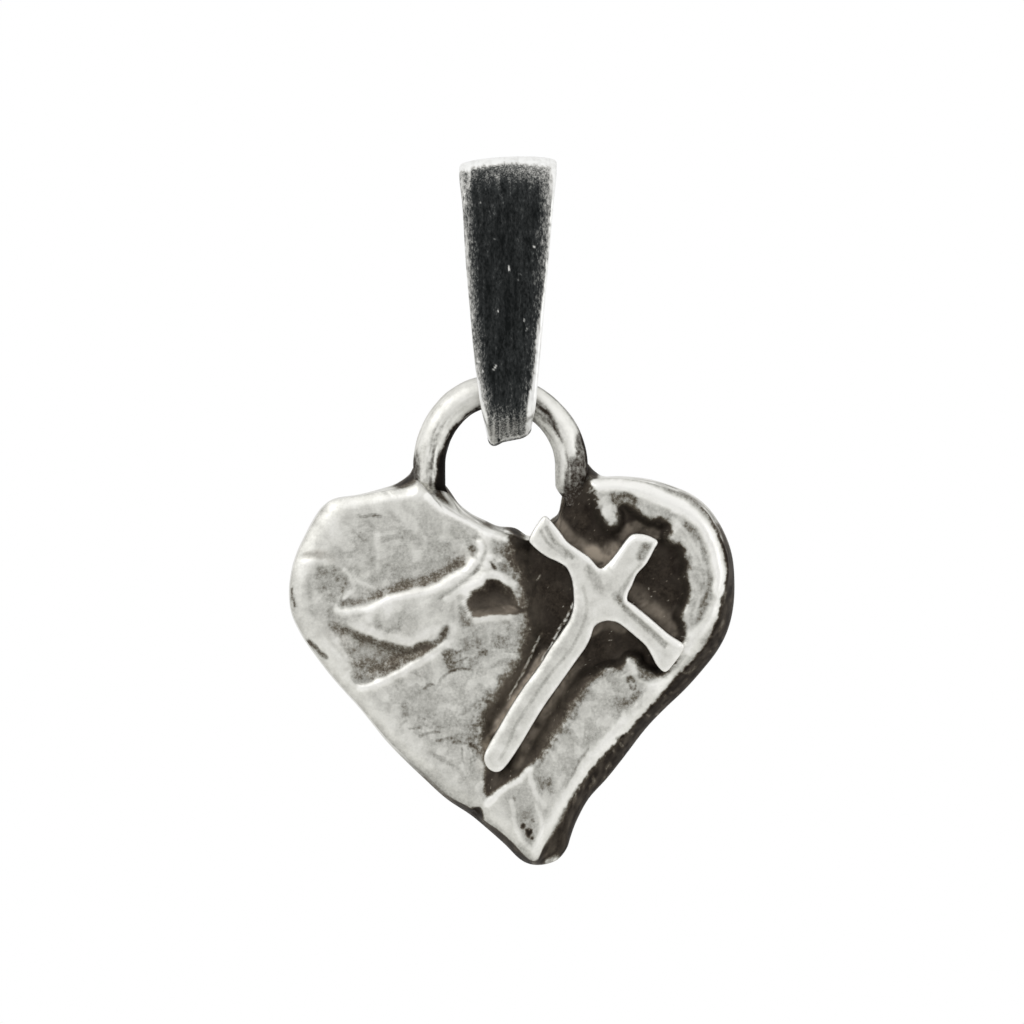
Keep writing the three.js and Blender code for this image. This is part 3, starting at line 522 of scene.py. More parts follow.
CROSS_MARKS = {  # grooves and pits on top of the cross, and painted highlights along its edges
    "upper line of the left arm": ([(546, 528), (553, 540), (563, 549), (572, 557)], 2, -0.05, 0.22),
    "lower line of the left arm": ([(541, 531), (547, 542), (557, 550), (566, 557)], 1.6, -0.03, 0.16),
    "fork of the arms": ([(588, 570), (594, 578), (598, 588)], 4.5, -0.06, 0.16),
    "crossing": ([(600, 584), (606, 590)], 6, -0.03, 0.03),
    "top arm pit": ([(640, 556), (643.5, 549), (646, 546)], 4.1, -0.08, 0.32),
    "top arm line": ([(640, 566), (632, 576), (623, 588), (619, 600)], 2.8, -0.04, 0.2),
    "hollow at the crossing": ([(615, 596), (620, 602)], 3.6, -0.04, 0.18),
    "right arm groove": ([(624, 607), (634, 616.5), (645, 626), (657, 637), (664, 644)], 2.9, -0.1, 0.25),
    "stem groove": (
        [(583, 588), (586, 612), (574, 643), (556.8, 665), (546, 678), (530.7, 700.7), (515.5, 724.6),
         (508, 744), (500, 757)], 1.6, -0.02, 0.11),
    # painted highlights along the edges that face the light from above
    "bright edge of the right arm": (
        [(628, 602), (631, 606), (648, 620.5), (666, 636), (677, 643.5)], 2.6, 0.03, -0.2),
    "bright edge of the top arm": (
        [(612, 566), (620, 553), (628, 542), (636, 538), (648, 540)], 2.4, 0.02, -0.2),
    "bright side of the top arm": (
        [(654, 545), (646, 562), (635.5, 574), (629.5, 585), (625.5, 594), (625, 599)], 1.8, 0.02, -0.2),
    "bright edge of the left arm": (
        [(552, 524), (562, 538), (576, 550), (590, 561), (598, 568)], 2.2, 0.02, -0.2),
    "bright side of the stem": (
        [(577, 600), (574, 620), (563, 642), (545, 668), (527, 697), (505, 733)], 3, 0.01, 0.02),
    "shade on the left edge of the stem": (
        [(570, 617), (559.5, 634), (551.5, 645), (539, 665), (525, 684), (511, 705), (499, 726),
         (488, 745)], 1.8, 0, 0.16),
    "stem haze": ([(580, 620), (556, 660), (530, 698), (506, 738)], 6, 0, 0.06),
}


# Tools for paths, grain and marks


def smooth_path(points, closed=False, steps=5):
    """A smooth curve through the points."""
    points = np.array(points, float)
    if closed:
        ring = np.concatenate([points[-1:], points, points[:2]])
    else:
        ring = np.concatenate([points[:1], points, points[-1:]])
    a, b, c, d = ring[:-3], ring[1:-2], ring[2:-1], ring[3:]
    runs = []
    for share in np.arange(steps) / steps:
        bend = 2 * b + (c - a) * share
        bend += (2 * a - 5 * b + 4 * c - d) * share ** 2
        runs.append((bend + (3 * b - a - 3 * c + d) * share ** 3) / 2)
    curve = np.stack(runs, 1).reshape(-1, 2)
    return np.concatenate([curve, points[:1] if closed else points[-1:]])


def distance(path, spots):
    """How far each spot is from the path."""
    nearest = np.full(len(spots), np.inf)
    for start, end in zip(path[:-1], path[1:]):
        run = end - start
        share = np.clip((spots - start) @ run / max(run @ run, NO_LENGTH), 0, 1)
        gap = spots - start - share[:, None] * run
        nearest = np.minimum(nearest, (gap ** 2).sum(1))
    return np.sqrt(nearest)


def depth_inside(points, spots):
    """How deep each spot lies inside a closed outline, below zero outside it."""
    path = smooth_path(points, closed=True, steps=3)
    inside = np.zeros(len(spots), bool)
    for (x1, y1), (x2, y2) in zip(path[:-1], path[1:]):
        if y1 == y2:
            continue
        crosses = (y1 > spots[:, 1]) != (y2 > spots[:, 1])
        inside ^= crosses & (spots[:, 0] < x1 + (spots[:, 1] - y1) / (y2 - y1) * (x2 - x1))
    return np.where(inside, 1, -1) * distance(path, spots)


def ease(low, high, value):
    """Grows smoothly from 0 at low to 1 at high."""
    share = np.clip((value - low) / (high - low), 0, 1)
    return share * share * (3 - 2 * share)


def ridge(value, middle, width):
    """1 at the middle, falling to nothing over the width to both sides."""
    return np.exp(-((value - middle) / width) ** 2)


def mix(levels, *layers):
    """The first level, with each layer added at its own level."""
    total = levels[0]
    for level, layer in zip(levels[1:], layers):
        total = total + level * layer
    return total


def grain(spots, size, seed):
    """Smooth random values from -1 to 1 that change over the given size."""
    table = np.random.default_rng(seed).uniform(-1, 1, (GRAIN_TABLE, GRAIN_TABLE))
    place = spots / size
    corner = np.floor(place).astype(int)
    across, down = ease(0, 1, place - corner).T
    left, top = (corner % GRAIN_TABLE).T
    right, low = (left + 1) % GRAIN_TABLE, (top + 1) % GRAIN_TABLE
    upper = table[left, top] * (1 - across) + table[right, top] * across
    lower = table[left, low] * (1 - across) + table[right, low] * across
    return upper * (1 - down) + lower * down


def waves(spots, count, seed):
    """Grain with a count of waves in each direction."""
    return grain(spots * count, 1, seed)


def layered(spots, layers, pattern=grain):
    """A sum of layers of grain."""
    return sum(pattern(spots, size, seed) * share for size, seed, share in layers)


def drift(spots, size, reach, seed_across, seed_down):
    """Random moves of spots, across and down."""
    return np.stack([grain(spots, size, seed_across), grain(spots, size, seed_down)], 1) * reach


def strokes(marks, spots):
    """Rise and change of patina and painted light that a set of marks gives each spot."""
    rise, tarnish_and_painted_light = np.zeros(len(spots)), np.zeros(len(spots))
    for points, reach, height, stain in marks.values():
        path = smooth_path(points)
        end = MARK_END * reach
        near = np.all((spots > path.min(0) - end) & (spots < path.max(0) + end), 1)
        away = (distance(path, spots[near]) / reach) ** 2
        rise[near] += height * np.exp(-away)
        fall = away / SOFT_FALL if reach > CRISP_REACH else (away / CRISP_FALL) ** 2
        tarnish_and_painted_light[near] += stain * np.exp(-fall)
    return rise, tarnish_and_painted_light


def to_mm(spots):
    """Photograph pixels to X and Z in millimetres."""
    return (spots - SEAT_PIXEL) / PIXELS_PER_MM * UPRIGHT


def to_pixels(places):
    """X and Z in millimetres to photograph pixels."""
    return places * UPRIGHT * PIXELS_PER_MM + SEAT_PIXEL


def seen_pixels(places):
    """Photograph pixels of places in millimetres, with what is nearer drawn larger."""
    flat = to_pixels(places[:, [0, 2]])
    return FRAME_MIDDLE + (flat - FRAME_MIDDLE) * (CAMERA_AWAY / (CAMERA_AWAY + places[:, 1]))[:, None]


# Tools for modelling


def start_piece(name, primitive, **sizes):
    """Adds a primitive as the start of a piece."""
    bpy.ops.object.select_all(action="DESELECT")
    primitive(**sizes)
    piece = bpy.context.object
    piece.name = piece.data.name = name
    return piece


def edit(*steps):
    """Runs edit-mode operators, each with its settings, on the whole of the active piece."""
    bpy.ops.object.mode_set(mode="EDIT")
    bpy.ops.mesh.select_all(action="SELECT")
    for operator, settings in steps:
        operator(**settings)
    bpy.ops.object.mode_set(mode="OBJECT")


SELECT_ALL = bpy.ops.mesh.select_all, {"action": "SELECT"}
SELECT_NONE = bpy.ops.mesh.select_all, {"action": "DESELECT"}
FACE_OUTWARDS = bpy.ops.mesh.normals_make_consistent, {"inside": False}


def apply_modifier(piece, name, kind, **settings):
    modifier = piece.modifiers.new(name, kind)
    for setting, value in settings.items():
        setattr(modifier, setting, value)
    bpy.ops.object.modifier_apply(modifier=modifier.name)


def points_of(piece):
    places = np.zeros(3 * len(piece.data.vertices))
    piece.data.vertices.foreach_get("co", places)
    return places.reshape(-1, 3)


def set_points(piece, places):
    piece.data.vertices.foreach_set("co", places.ravel())
    piece.data.update()


def finish_piece(piece, marks, material, body, node, angle):
    """Gives a piece its patina and painted light, its rub, material, smooth faces and place in the frame."""
    for name, values in marks.items():
        mark = piece.data.attributes.new(name, "FLOAT", "POINT")
        mark.data.foreach_set("value", np.clip(values, 0, 1).astype(np.float32))
    bpy.ops.object.select_all(action="DESELECT")
    piece.select_set(True)
    bpy.context.view_layer.objects.active = piece
    bpy.ops.object.shade_smooth_by_angle(angle=math.radians(angle))
    piece.data.materials.clear()
    piece.data.materials.append(material)
    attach(piece, body)
    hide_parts(node)


# Heart


def reach_of(outline, turn):
    """Distance from the heart's middle to an outline, in the direction of each turn."""
    path = smooth_path(outline, closed=True) - MIDDLE
    angle = np.arctan2(-path[:, 1], path[:, 0])
    order = np.argsort(angle)
    return np.interp(turn, angle[order], np.hypot(*path.T)[order], period=2 * math.pi)


def square_to_round(square):
    """Turn and share of the way out for spots of a square that is pressed into a disc."""
    across, up = square.T
    share = np.maximum(np.abs(across), np.abs(up))
    wide = np.abs(across) >= np.abs(up)
    safe = np.where(share == 0, 1, share)
    upright = np.where(up < 0, -math.pi / 2, math.pi / 2)
    side = np.where(wide, np.where(across < 0, math.pi, 0), upright)
    lean = np.where(wide, up * np.sign(across), -across * np.sign(up)) / safe
    return side + lean * math.pi / 4, share


def cast_skin(spots):
    """Cloud, sand, veins and worn patches of the cast skin."""
    swirl = spots + drift(spots, *SWIRL)
    veins = (1 - np.abs(grain(swirl, *VEINS))) ** VEIN_POWER
    worn = ease(*WORN_RANGE, layered(swirl, WORN_PATCHES))
    return layered(swirl, CLOUD), layered(spots, SAND), veins, worn


def heart_relief(spots):
    """Height above the channel floor, patina with painted shade, rub, way in from the edge and sand of the
    cast front.
    """
    across, down = spots.T
    cloud, sand, veins, worn = cast_skin(spots)
    wander = drift(spots, *COARSE_WANDER) + drift(spots, *FINE_WANDER)
    soft = spots + wander * SOFT_WANDER
    inset = distance(smooth_path(FRONT_EDGE, closed=True, steps=3), spots)
    left = ease(*LEFT_HALF, across)
    ledge = ease(*LEDGE_HALF, across + LEDGE_LEAN * (down - MIDDLE[1]))

    # The field on the left, the ledge on the right, and the marks on both, some of them painted shade
    rise, stain = strokes(FOLDS, soft)
    lift = FIELD_LIFT + (LEDGE_LIFT - FIELD_LIFT) * ledge
    lift += rise + LUMP_LIFT * cloud
    rub = strokes(RUBBED, soft)[1] * np.clip(mix(RUB_MIX, cloud, sand), *RUB_LIMITS)
    mottle = mix(MOTTLE_MIX, cloud, sand, veins, worn)
    mottle *= 1 - EVEN_TIP * ease(*EVEN_ROWS, down)
    mottle *= 1 - EVEN_RIM * left * ease(*EVEN_BAND, inset)
    tarnish_and_painted_light = FIELD_TARNISH + stain + mottle * np.clip(1 + MOTTLE_GAIN * stain, *MOTTLE_LIMITS)
    for outline, bank, drop, dark in HOLLOWS:
        deep = depth_inside(outline, soft)
        lift -= drop * ease(0, bank, deep)
        tarnish_and_painted_light += mix((dark, *HOLLOW_MIX), sand, cloud) * ease(*HOLLOW_EDGE, deep + HOLLOW_SAND * sand)

    # The sunken channel, with its ragged dark crust
    ragged = spots + wander * (1 - TIP_CALM * ease(*CALM_ROWS, down))[:, None]
    blur = BLUR + (LEFT_BLUR * left + LOW_BLUR * ease(*LOW_ROWS, down)) * ease(*ABOVE_TIP, down)
    sunk = ease(*BANK_RANGE, depth_inside(CHANNEL, soft) / (BANK + LEFT_BANK * left))
    dark = ease(*BLUR_RANGE, mix((depth_inside(CHANNEL, ragged) / blur, *DARK_MIX), sand, cloud))
    lift = lift * (1 - sunk) + LUMP_LIFT * cloud * sunk
    tarnish_and_painted_light = tarnish_and_painted_light * (1 - dark) + dark * mix(CHANNEL_TARNISH, cloud, sand)
    rub += dark * (mix(CHANNEL_RUB, cloud) + SLOPE_RUB * sunk * (1 - sunk))
    lines, bright = strokes(LEDGE_LINES, soft)
    lift += lines * sunk
    tarnish_and_painted_light += bright * np.clip(mix(LINE_MIX, sand), 0, 1)
    rarity = SPECK_RARITY - SPECKLED_GAIN * strokes(SPECKLED, soft)[1]
    tarnish_and_painted_light -= dark * SPECK_LIGHT * ease(rarity, rarity + SPECK_EDGE, grain(spots, *SPECK_GRAIN))

    edge_round = EDGE_ROUND + WIDER_ROUND * ease(*WIDER_SIDE, across)
    lift -= EDGE_DROP * np.clip(1 - inset / edge_round, 0, 1) ** 2
    return lift, tarnish_and_painted_light, rub, inset, sand


def blurred(values, rounds):
    """Values on the square grid of the front, each evened out with its neighbours."""
    level = values.reshape(HEART_CELLS + 1, HEART_CELLS + 1)
    for _ in range(rounds):
        level = np.pad(level, 1, mode="edge")
        level = (level[:-2] + 2 * level[1:-1] + level[2:]) / 4
        level = (level[:, :-2] + 2 * level[:, 1:-1] + level[:, 2:]) / 4
    return level.ravel()


def start_heart():
    """A square grid for the front, with rings drawn from its border for the wall and the back."""
    heart = start_piece("heart_casting", bpy.ops.mesh.primitive_grid_add, x_subdivisions=HEART_CELLS,
                        y_subdivisions=HEART_CELLS, size=2)
    front = len(heart.data.vertices)
    draw_ring = bpy.ops.mesh.extrude_region_move, {}
    edit((bpy.ops.mesh.region_to_loop, {}), *[draw_ring] * (WALL_RINGS + BACK_RINGS),
         (bpy.ops.mesh.edge_face_add, {}), SELECT_ALL)
    return heart, front


def wall_tarnish(step, turn, wide, spots):
    """Tarnish of one ring of the side wall, streaked and scratched, and bright where it hardly shows."""
    upper = ease(*UPPER_ROWS, spots[:, 1])
    outer = ease(*OUTER_PART, step / (WALL_RINGS - 1)) * ease(*OUTER_ROWS, spots[:, 1])
    around = np.stack([turn, np.full(len(turn), step)], 1)
    dark = WALL_DARK - WALL_UPPER * upper - WALL_OUTER * outer
    dark += mix(WALL_STREAK_MIX, upper) * waves(around, *WALL_STREAKS)
    dark -= SCRATCH_LIGHT * ease(*SCRATCH_RANGE, waves(around, *WALL_SCRATCHES))
    return WALL_BRIGHT + wide * (dark + strokes(WALL_MARKS, spots)[1])


def make_heart(material):
    """The cast heart: its front in relief, its side wall and its dented back."""
    heart, front = start_heart()
    turn, share = square_to_round(points_of(heart)[:, :2])
    ring = np.maximum(np.arange(len(turn)) - front, -1) // (4 * HEART_CELLS) + 1
    bearing = np.stack([np.cos(turn), -np.sin(turn)], 1)
    edge, rim = reach_of(FRONT_EDGE, turn), reach_of(OUTLINE, turn)
    even = np.mean([reach_of(FRONT_EDGE, turn + lean) for lean in EVEN_TURNS], 0)
    spots = MIDDLE + bearing * (share * even + share ** EVEN_POWER * (edge - even))[:, None]
    lift, tarnish_and_painted_light, rub, inset, sand = heart_relief(spots)
    right = ease(*WALL_COLUMNS, spots[:, 0])
    seen = [a * (1 - right) + b * right for a, b in zip(LEFT_WALL_SEEN, RIGHT_WALL_SEEN)]
    wide = ease(*seen, rim - edge)
    lift[:front] = blurred(lift[:front], SKIN_BLURS)
    low = blurred(lift[:front], SHADE_BLURS) - lift[:front]
    tarnish_and_painted_light[:front] += np.clip(low, *LOW_TARNISH)
    ragged = ease(*RAGGED_COLUMNS, spots[:, 0]) * ease(*RAGGED_EDGE, inset + RAGGED_SAND * sand)
    tarnish_and_painted_light[:front] += (RAGGED_TARNISH * wide * ragged * ease(*RAGGED_ROWS, spots[:, 1]))[:front]
    depth = FLOOR_LEVEL - lift
    for step in range(1, WALL_RINGS):
        on = ring == step
        part = step / (WALL_RINGS - 1)
        reach = edge[on] + (rim - edge)[on] * (1 - (1 - part) ** WALL_POWER)
        spots[on] = MIDDLE + bearing[on] * reach[:, None]
        depth[on] += (BACK_DEPTH - BACK_ROUND - depth[on]) * part
        tarnish_and_painted_light[on] = wall_tarnish(step, turn[on], wide[on], spots[on])
        patches = grain(spots[on] * WALL_RUB_STRETCH, WALL_RUB_SIZE, WALL_RUB_SEED + step)
        rub[on] = wide[on] * mix(WALL_RUB, patches)
    for step in range(BACK_RINGS + 1):
        on = ring == WALL_RINGS + step
        within = step > 0  # the first ring is the back's flat and even edge
        reach = (rim[on] - BACK_ROUND * PIXELS_PER_MM) * (1 - step / (BACK_RINGS + BACK_HOLE))
        spots[on] = MIDDLE + bearing[on] * reach[:, None]
        depth[on] = BACK_DEPTH - within * BACK_DENTS * (1 + grain(spots[on], *DENT_GRAIN)) / 2
        tarnish_and_painted_light[on] = BACK_TARNISH + within * layered(spots[on], BACK_STAINS)
        rub[on] = 0
    flat = to_mm(spots)
    set_points(heart, np.stack([flat[:, 0], depth, flat[:, 1]], 1) * MM)
    edit(FACE_OUTWARDS)
    marks = {"tarnish_and_painted_light": tarnish_and_painted_light, "rubbed": rub}
    finish_piece(heart, marks, material, "heart", "heart_plate", angle=60)


# Cross


def make_cross(material):
    """A slab of the cross's outline, its skin evened out, worn at the corners and marked on top, with painted
    highlights on its edges.
    """
    path = to_mm(smooth_path(CROSS, closed=True, steps=4)[:-1])
    cross = start_piece("raised_cross", bpy.ops.mesh.primitive_circle_add, vertices=len(path),
                        fill_type="NGON")
    set_points(cross, np.stack([path[:, 0], np.full(len(path), CROSS_SEAT), path[:, 1]], 1))
    height = {"value": (0, CROSS_TOP - CROSS_SEAT, 0)}
    draw_out = bpy.ops.mesh.extrude_region_move, {"TRANSFORM_OT_translate": height}
    edit(draw_out, SELECT_ALL, FACE_OUTWARDS)
    apply_modifier(cross, "even skin", "REMESH", mode="VOXEL", voxel_size=CROSS_VOXEL)
    apply_modifier(cross, "worn corners", "SMOOTH", factor=CROSS_SMOOTHING, iterations=CROSS_ROUNDS)
    places = points_of(cross)
    spots = to_pixels(places[:, [0, 2]])
    up = ease(CROSS_SEAT, CROSS_TOP, places[:, 1])
    inset = depth_inside(CROSS, spots)
    # grooves and pits, and painted highlights along the edges of the arms
    rise, stain = strokes(CROSS_MARKS, spots)
    mottle = layered(spots, CROSS_MOTTLE)
    fall = CROSS_FALL * (1 - np.clip(inset / CROSS_FALL_REACH, 0, 1)) ** 2
    places[:, 1] += up ** RELIEF_POWER * (fall - rise + CROSS_LUMPS * mottle)
    set_points(cross, places * MM)
    tarnish_and_painted_light = CROSS_TARNISH + stain * up ** MARK_POWER + CROSS_MOTTLED * mottle
    # brighter edges all round: rubbed, and partly a painted highlight
    tarnish_and_painted_light -= CROSS_EDGE_WEAR_AND_HIGHLIGHT * (1 - np.clip(inset / CROSS_EDGE_REACH, 0, 1))
    foot = 1 - ease(*CROSS_FOOT, up + CROSS_FOOT_WAVE * grain(spots, *CROSS_FOOT_GRAIN))
    tarnish_and_painted_light = tarnish_and_painted_light * (1 - foot) + CROSS_FOOT_TARNISH * foot
    finish_piece(cross, {"tarnish_and_painted_light": tarnish_and_painted_light}, material, "heart", "cross", angle=80)


# Wire and strip: a rod drawn along a line and shaped round it


def make_rod(name, sides, cuts):
    """A rod cut into short lengths. Gives the piece, and for each point its turn and share of the length."""
    rod = start_piece(name, bpy.ops.mesh.primitive_cylinder_add, vertices=sides, radius=1, depth=2)
    bpy.context.tool_settings.mesh_select_mode = (False, True, False)
    for cut in cuts:
        edit(SELECT_NONE)
        height = points_of(rod)[:, 2]
        for line in rod.data.edges:
            start, end = line.vertices
            line.select = bool(abs(height[start] - height[end]) > NO_RISE)
        bpy.ops.object.mode_set(mode="EDIT")
        bpy.ops.mesh.subdivide(number_cuts=cut)
        bpy.ops.object.mode_set(mode="OBJECT")
    places = points_of(rod)
    return rod, np.arctan2(places[:, 1], places[:, 0]), (places[:, 2] + 1) / 2


def along(path, share):
    """Places at shares of a path's length, the way square to the path there, and the length."""
    run = np.concatenate([[0], np.cumsum(np.hypot(*np.diff(path, axis=0).T))])
    here, ahead, behind = [
        np.stack([np.interp(share * run[-1] + shift, run, path[:, axis]) for axis in (0, 1)], 1)
        for shift in (0, PATH_STEP, -PATH_STEP)
    ]
    way = ahead - behind
    way /= np.hypot(*way.T)[:, None]
    return here, np.stack([-way[:, 1], way[:, 0]], 1), run[-1]


# Loop


def loop_line():
    """The middle of the wire in X and Z, up the left leg, over the arch and down the right leg."""
    bend = np.linspace(math.pi, 0, ARCH_POINTS)
    swell = ARCH_RISE * ridge(bend, ARCH_CREST, ARCH_SPAN) * np.sin(bend)
    arch = np.stack([np.cos(bend), np.sin(bend)], 1) * (LOOP_RADIUS + swell)[:, None]
    foot = LOOP_FOOT - LOOP_MIDDLE[1]
    return np.concatenate([[(-LOOP_RADIUS, foot)], arch, [(LOOP_RADIUS, foot)]]) + LOOP_MIDDLE


def loop_tarnish_and_painted_light(spots, out, height, left):
    """Tarnish of the wire: a painted dark reflection inside the left leg, streaks on the right leg, brown
    feet.
    """
    right = 1 - left
    speck = layered(spots, WIRE_SPECKS)
    lines = layered(spots, WIRE_LINES, waves)
    tarnish_and_painted_light = mix(WIRE_TARNISH, speck, lines)
    # painted dark reflection along the inner side of the wire, wider at some heights
    inner = -out
    for share, heights in INSIDE_REFLECTION_WIDER:
        inner = inner + share * ease(*heights, height)
    inside = ease(*INSIDE_REFLECTION, mix((inner, *INSIDE_REFLECTION_MIX), speck, lines))
    line = ridge(out + LEFT_LINE_WAVE * grain(spots, *LEFT_LINE_GRAIN), LEFT_LINE, LEFT_LINE_WIDTH)
    line *= ease(*LEFT_LINE_HEIGHTS, height)
    tarnish_and_painted_light += left * (inside * LEFT_INSIDE_REFLECTION + line * mix(LEFT_LINE_MIX, lines, speck))
    arch = ease(*ARCH_HEIGHTS, height)
    streak = out - STREAK_SHIFT * arch + STREAK_WAVE * lines
    streak = ridge(streak, RIGHT_STREAK, STREAK_WIDTH + STREAK_WIDER * arch) * mix(STREAK_MIX, lines)
    tarnish_and_painted_light += right * (inside * RIGHT_INSIDE_REFLECTION + streak + OUTER_SHADE * ease(*OUTER_PLACE, out))
    tarnish_and_painted_light += right * INNER_SHADE * ease(*INNER_PLACE, out) * ease(*INNER_HEIGHTS, height)
    lower = BROWN_LOWER * right * ease(*BROWN_OUTSIDE, out)
    brown = ease(*BROWN_HEIGHTS, mix((height, *BROWN_MIX), speck, lines) - lower)
    # bright line on the right leg, rubbed and partly a painted highlight
    tarnish_and_painted_light -= right * RUB_AND_HIGHLIGHT * ridge(out, RUB_AND_HIGHLIGHT_PLACE, RUB_AND_HIGHLIGHT_WIDTH) * (1 - brown)
    tarnish_and_painted_light += brown * left * LEFT_BROWN * ease(*LEFT_BROWN_PLACE, np.abs(out))
    right_brown = mix(RIGHT_BROWN, speck) * ease(*RIGHT_BROWN_PLACE, out + RIGHT_BROWN_WAVE * lines)
    tarnish_and_painted_light += brown * right * right_brown
    root = ease(*ROOT_HEIGHTS, height + ROOT_SPECKS * speck) * ease(*ROOT_PLACE, out)
    tarnish_and_painted_light += right * (ROOT_SHADE * root + ROOT_LINE * ease(*ROOT_LINE_HEIGHTS, height))
    return np.minimum(tarnish_and_painted_light, 1 - ROOT_LIMIT * right * ease(*ROOT_LIMIT_HEIGHTS, height))


def make_loop(material):
    """The wire rises from the left shoulder, over the top and down to the right shoulder."""
    loop, turn, share = make_rod("wire_loop", LOOP_SIDES, LOOP_CUTS)
    middle, outward, length = along(loop_line(), share)
    height = middle[:, 1]
    out, fore = np.cos(turn), np.sin(turn)
    spots = np.stack([share * length, turn], 1)
    left = ease(*LEFT_LEG, share)
    right = 1 - left
    radius = WIRE_RADIUS * (1 + layered(spots, HAND_FORGED))
    radius *= 1 - FLAT_DEPTH * np.cos(FLATS * turn + FLAT_TWIST * share)
    inward = LEFT_FOOT_SPREAD * left - RIGHT_FOOT_CUT * right
    spread = ease(*FOOT_HEIGHTS, height) * np.where(out > 0, FOOT_SPREAD, inward)
    flat = middle + outward * (out * (radius + spread))[:, None]
    radius *= 1 - RIGHT_LEG_THINNER * right
    sunk = RIGHT_SINK * right * ease(*RIGHT_SINK_HEIGHTS, height)
    sunk += LEFT_SINK * left * ease(*LEFT_SINK_HEIGHTS, height)
    depth = -fore * radius * (1 - np.where(fore > 0, sunk, 0))
    set_points(loop, np.stack([flat[:, 0], depth, flat[:, 1]], 1) * MM)
    edit(FACE_OUTWARDS)
    tarnish_and_painted_light = loop_tarnish_and_painted_light(spots, out, height, left)
    finish_piece(loop, {"tarnish_and_painted_light": tarnish_and_painted_light}, material, "heart", "hanging_loop", angle=70)


# Bail


def bail_line():
    """The middle of the strip in Y and Z, from the front tip, over the bend, to the back tip."""
    half = STRIP_THICKNESS / 2
    taper = math.asin((CHAIN_BEND - EYE_RADIUS) / (-EYE_LEVEL - CHAIN_BEND))
    eye = EYE_RADIUS + half
    run = (eye * math.cos(LAP_TURN) - half) / math.sin(LAP_TURN)
    elbow = EYE_LEVEL - eye * math.sin(LAP_TURN) - run * math.cos(LAP_TURN)
    turns = np.linspace(LAP_TURN, taper, EYE_POINTS)
    bend = np.linspace(math.pi + taper, math.pi / 2, BEND_POINTS)
    lap = np.array([(-half, BAIL_TIP), (-half, min(elbow, BAIL_TIP + LAP_LENGTH))])
    wrap = np.stack([-np.cos(turns), -np.sin(turns)], 1) * eye + (0, EYE_LEVEL)
    top = np.stack([np.cos(bend), np.sin(bend)], 1) * (CHAIN_BEND + half) + (0, -CHAIN_BEND)
    front = np.concatenate([lap, wrap, top])
    return np.concatenate([front, front[-2::-1] * (-1, 1)])


def strip_section(turn, half, ends):
    """Places across and through the strip for turns round it, its edges and its two ends rounded."""
    share = (turn / (2 * math.pi)) % 1
    corner, side = 0.5 - 2 * NARROW_SIDE, 0.5 - NARROW_SIDE
    legs = [0, corner, side, 0.5, 0.5 + corner, 0.5 + side, 1]
    across = np.interp(share, legs, [-1, 1, 1, 1, -1, -1, -1])
    through = np.interp(share, legs, [1, 1, 1, -1, -1, -1, 1])
    thick = STRIP_THICKNESS / 2
    tuck = STRIP_ROUND * (1 - np.sqrt(1 - np.clip(1 - ends / STRIP_ROUND, 0, 1) ** 2))
    box = np.stack([across * (half - tuck), through * (thick - tuck)], 1)
    limit = np.stack([half - tuck - STRIP_ROUND, thick - tuck - STRIP_ROUND], 1)
    core = np.clip(box, -limit, limit)
    over = box - core
    reach = np.hypot(*over.T)
    return core + over * np.where(reach > 0, STRIP_ROUND / np.where(reach > 0, reach, 1), 0)[:, None]


def trim_strip(places, aside, height, back):
    """Rounds the left edge, files and slants the two tips, and rounds the crown."""
    bulge = BAIL_BULGE * ease(*BULGE_STARTS, height) * ease(*BULGE_ENDS, height)
    places[:, 0] += bulge * np.minimum(aside, 0)
    filed = np.clip((places[:, 2] - FILED_FROM) / (BAIL_TIP - FILED_FROM), 0, 1)
    places[:, 0] += filed * (TIP_INSETS[0] * np.maximum(-aside, 0) - TIP_INSETS[1] * np.maximum(aside, 0))
    cut = TIP_SLANT * (aside + 1) / 2
    for side, depth, start in TIP_CORNERS:
        cut += depth * np.clip((side * aside - start) / (1 - start), 0, 1) ** 2
    cut += TIP_STEP * ease(*TIP_STEP_PLACE, aside) - BACK_TIP * back
    places[:, 2] += ease(*TIP_HEIGHTS, places[:, 2]) * cut
    crown = CROWN_SLANT * aside - CROWN_ROUND * aside ** 2 - CROWN_CORNERS * aside ** CORNER_POWER
    places[:, 2] += ease(-CHAIN_BEND, 0, places[:, 2]) * crown


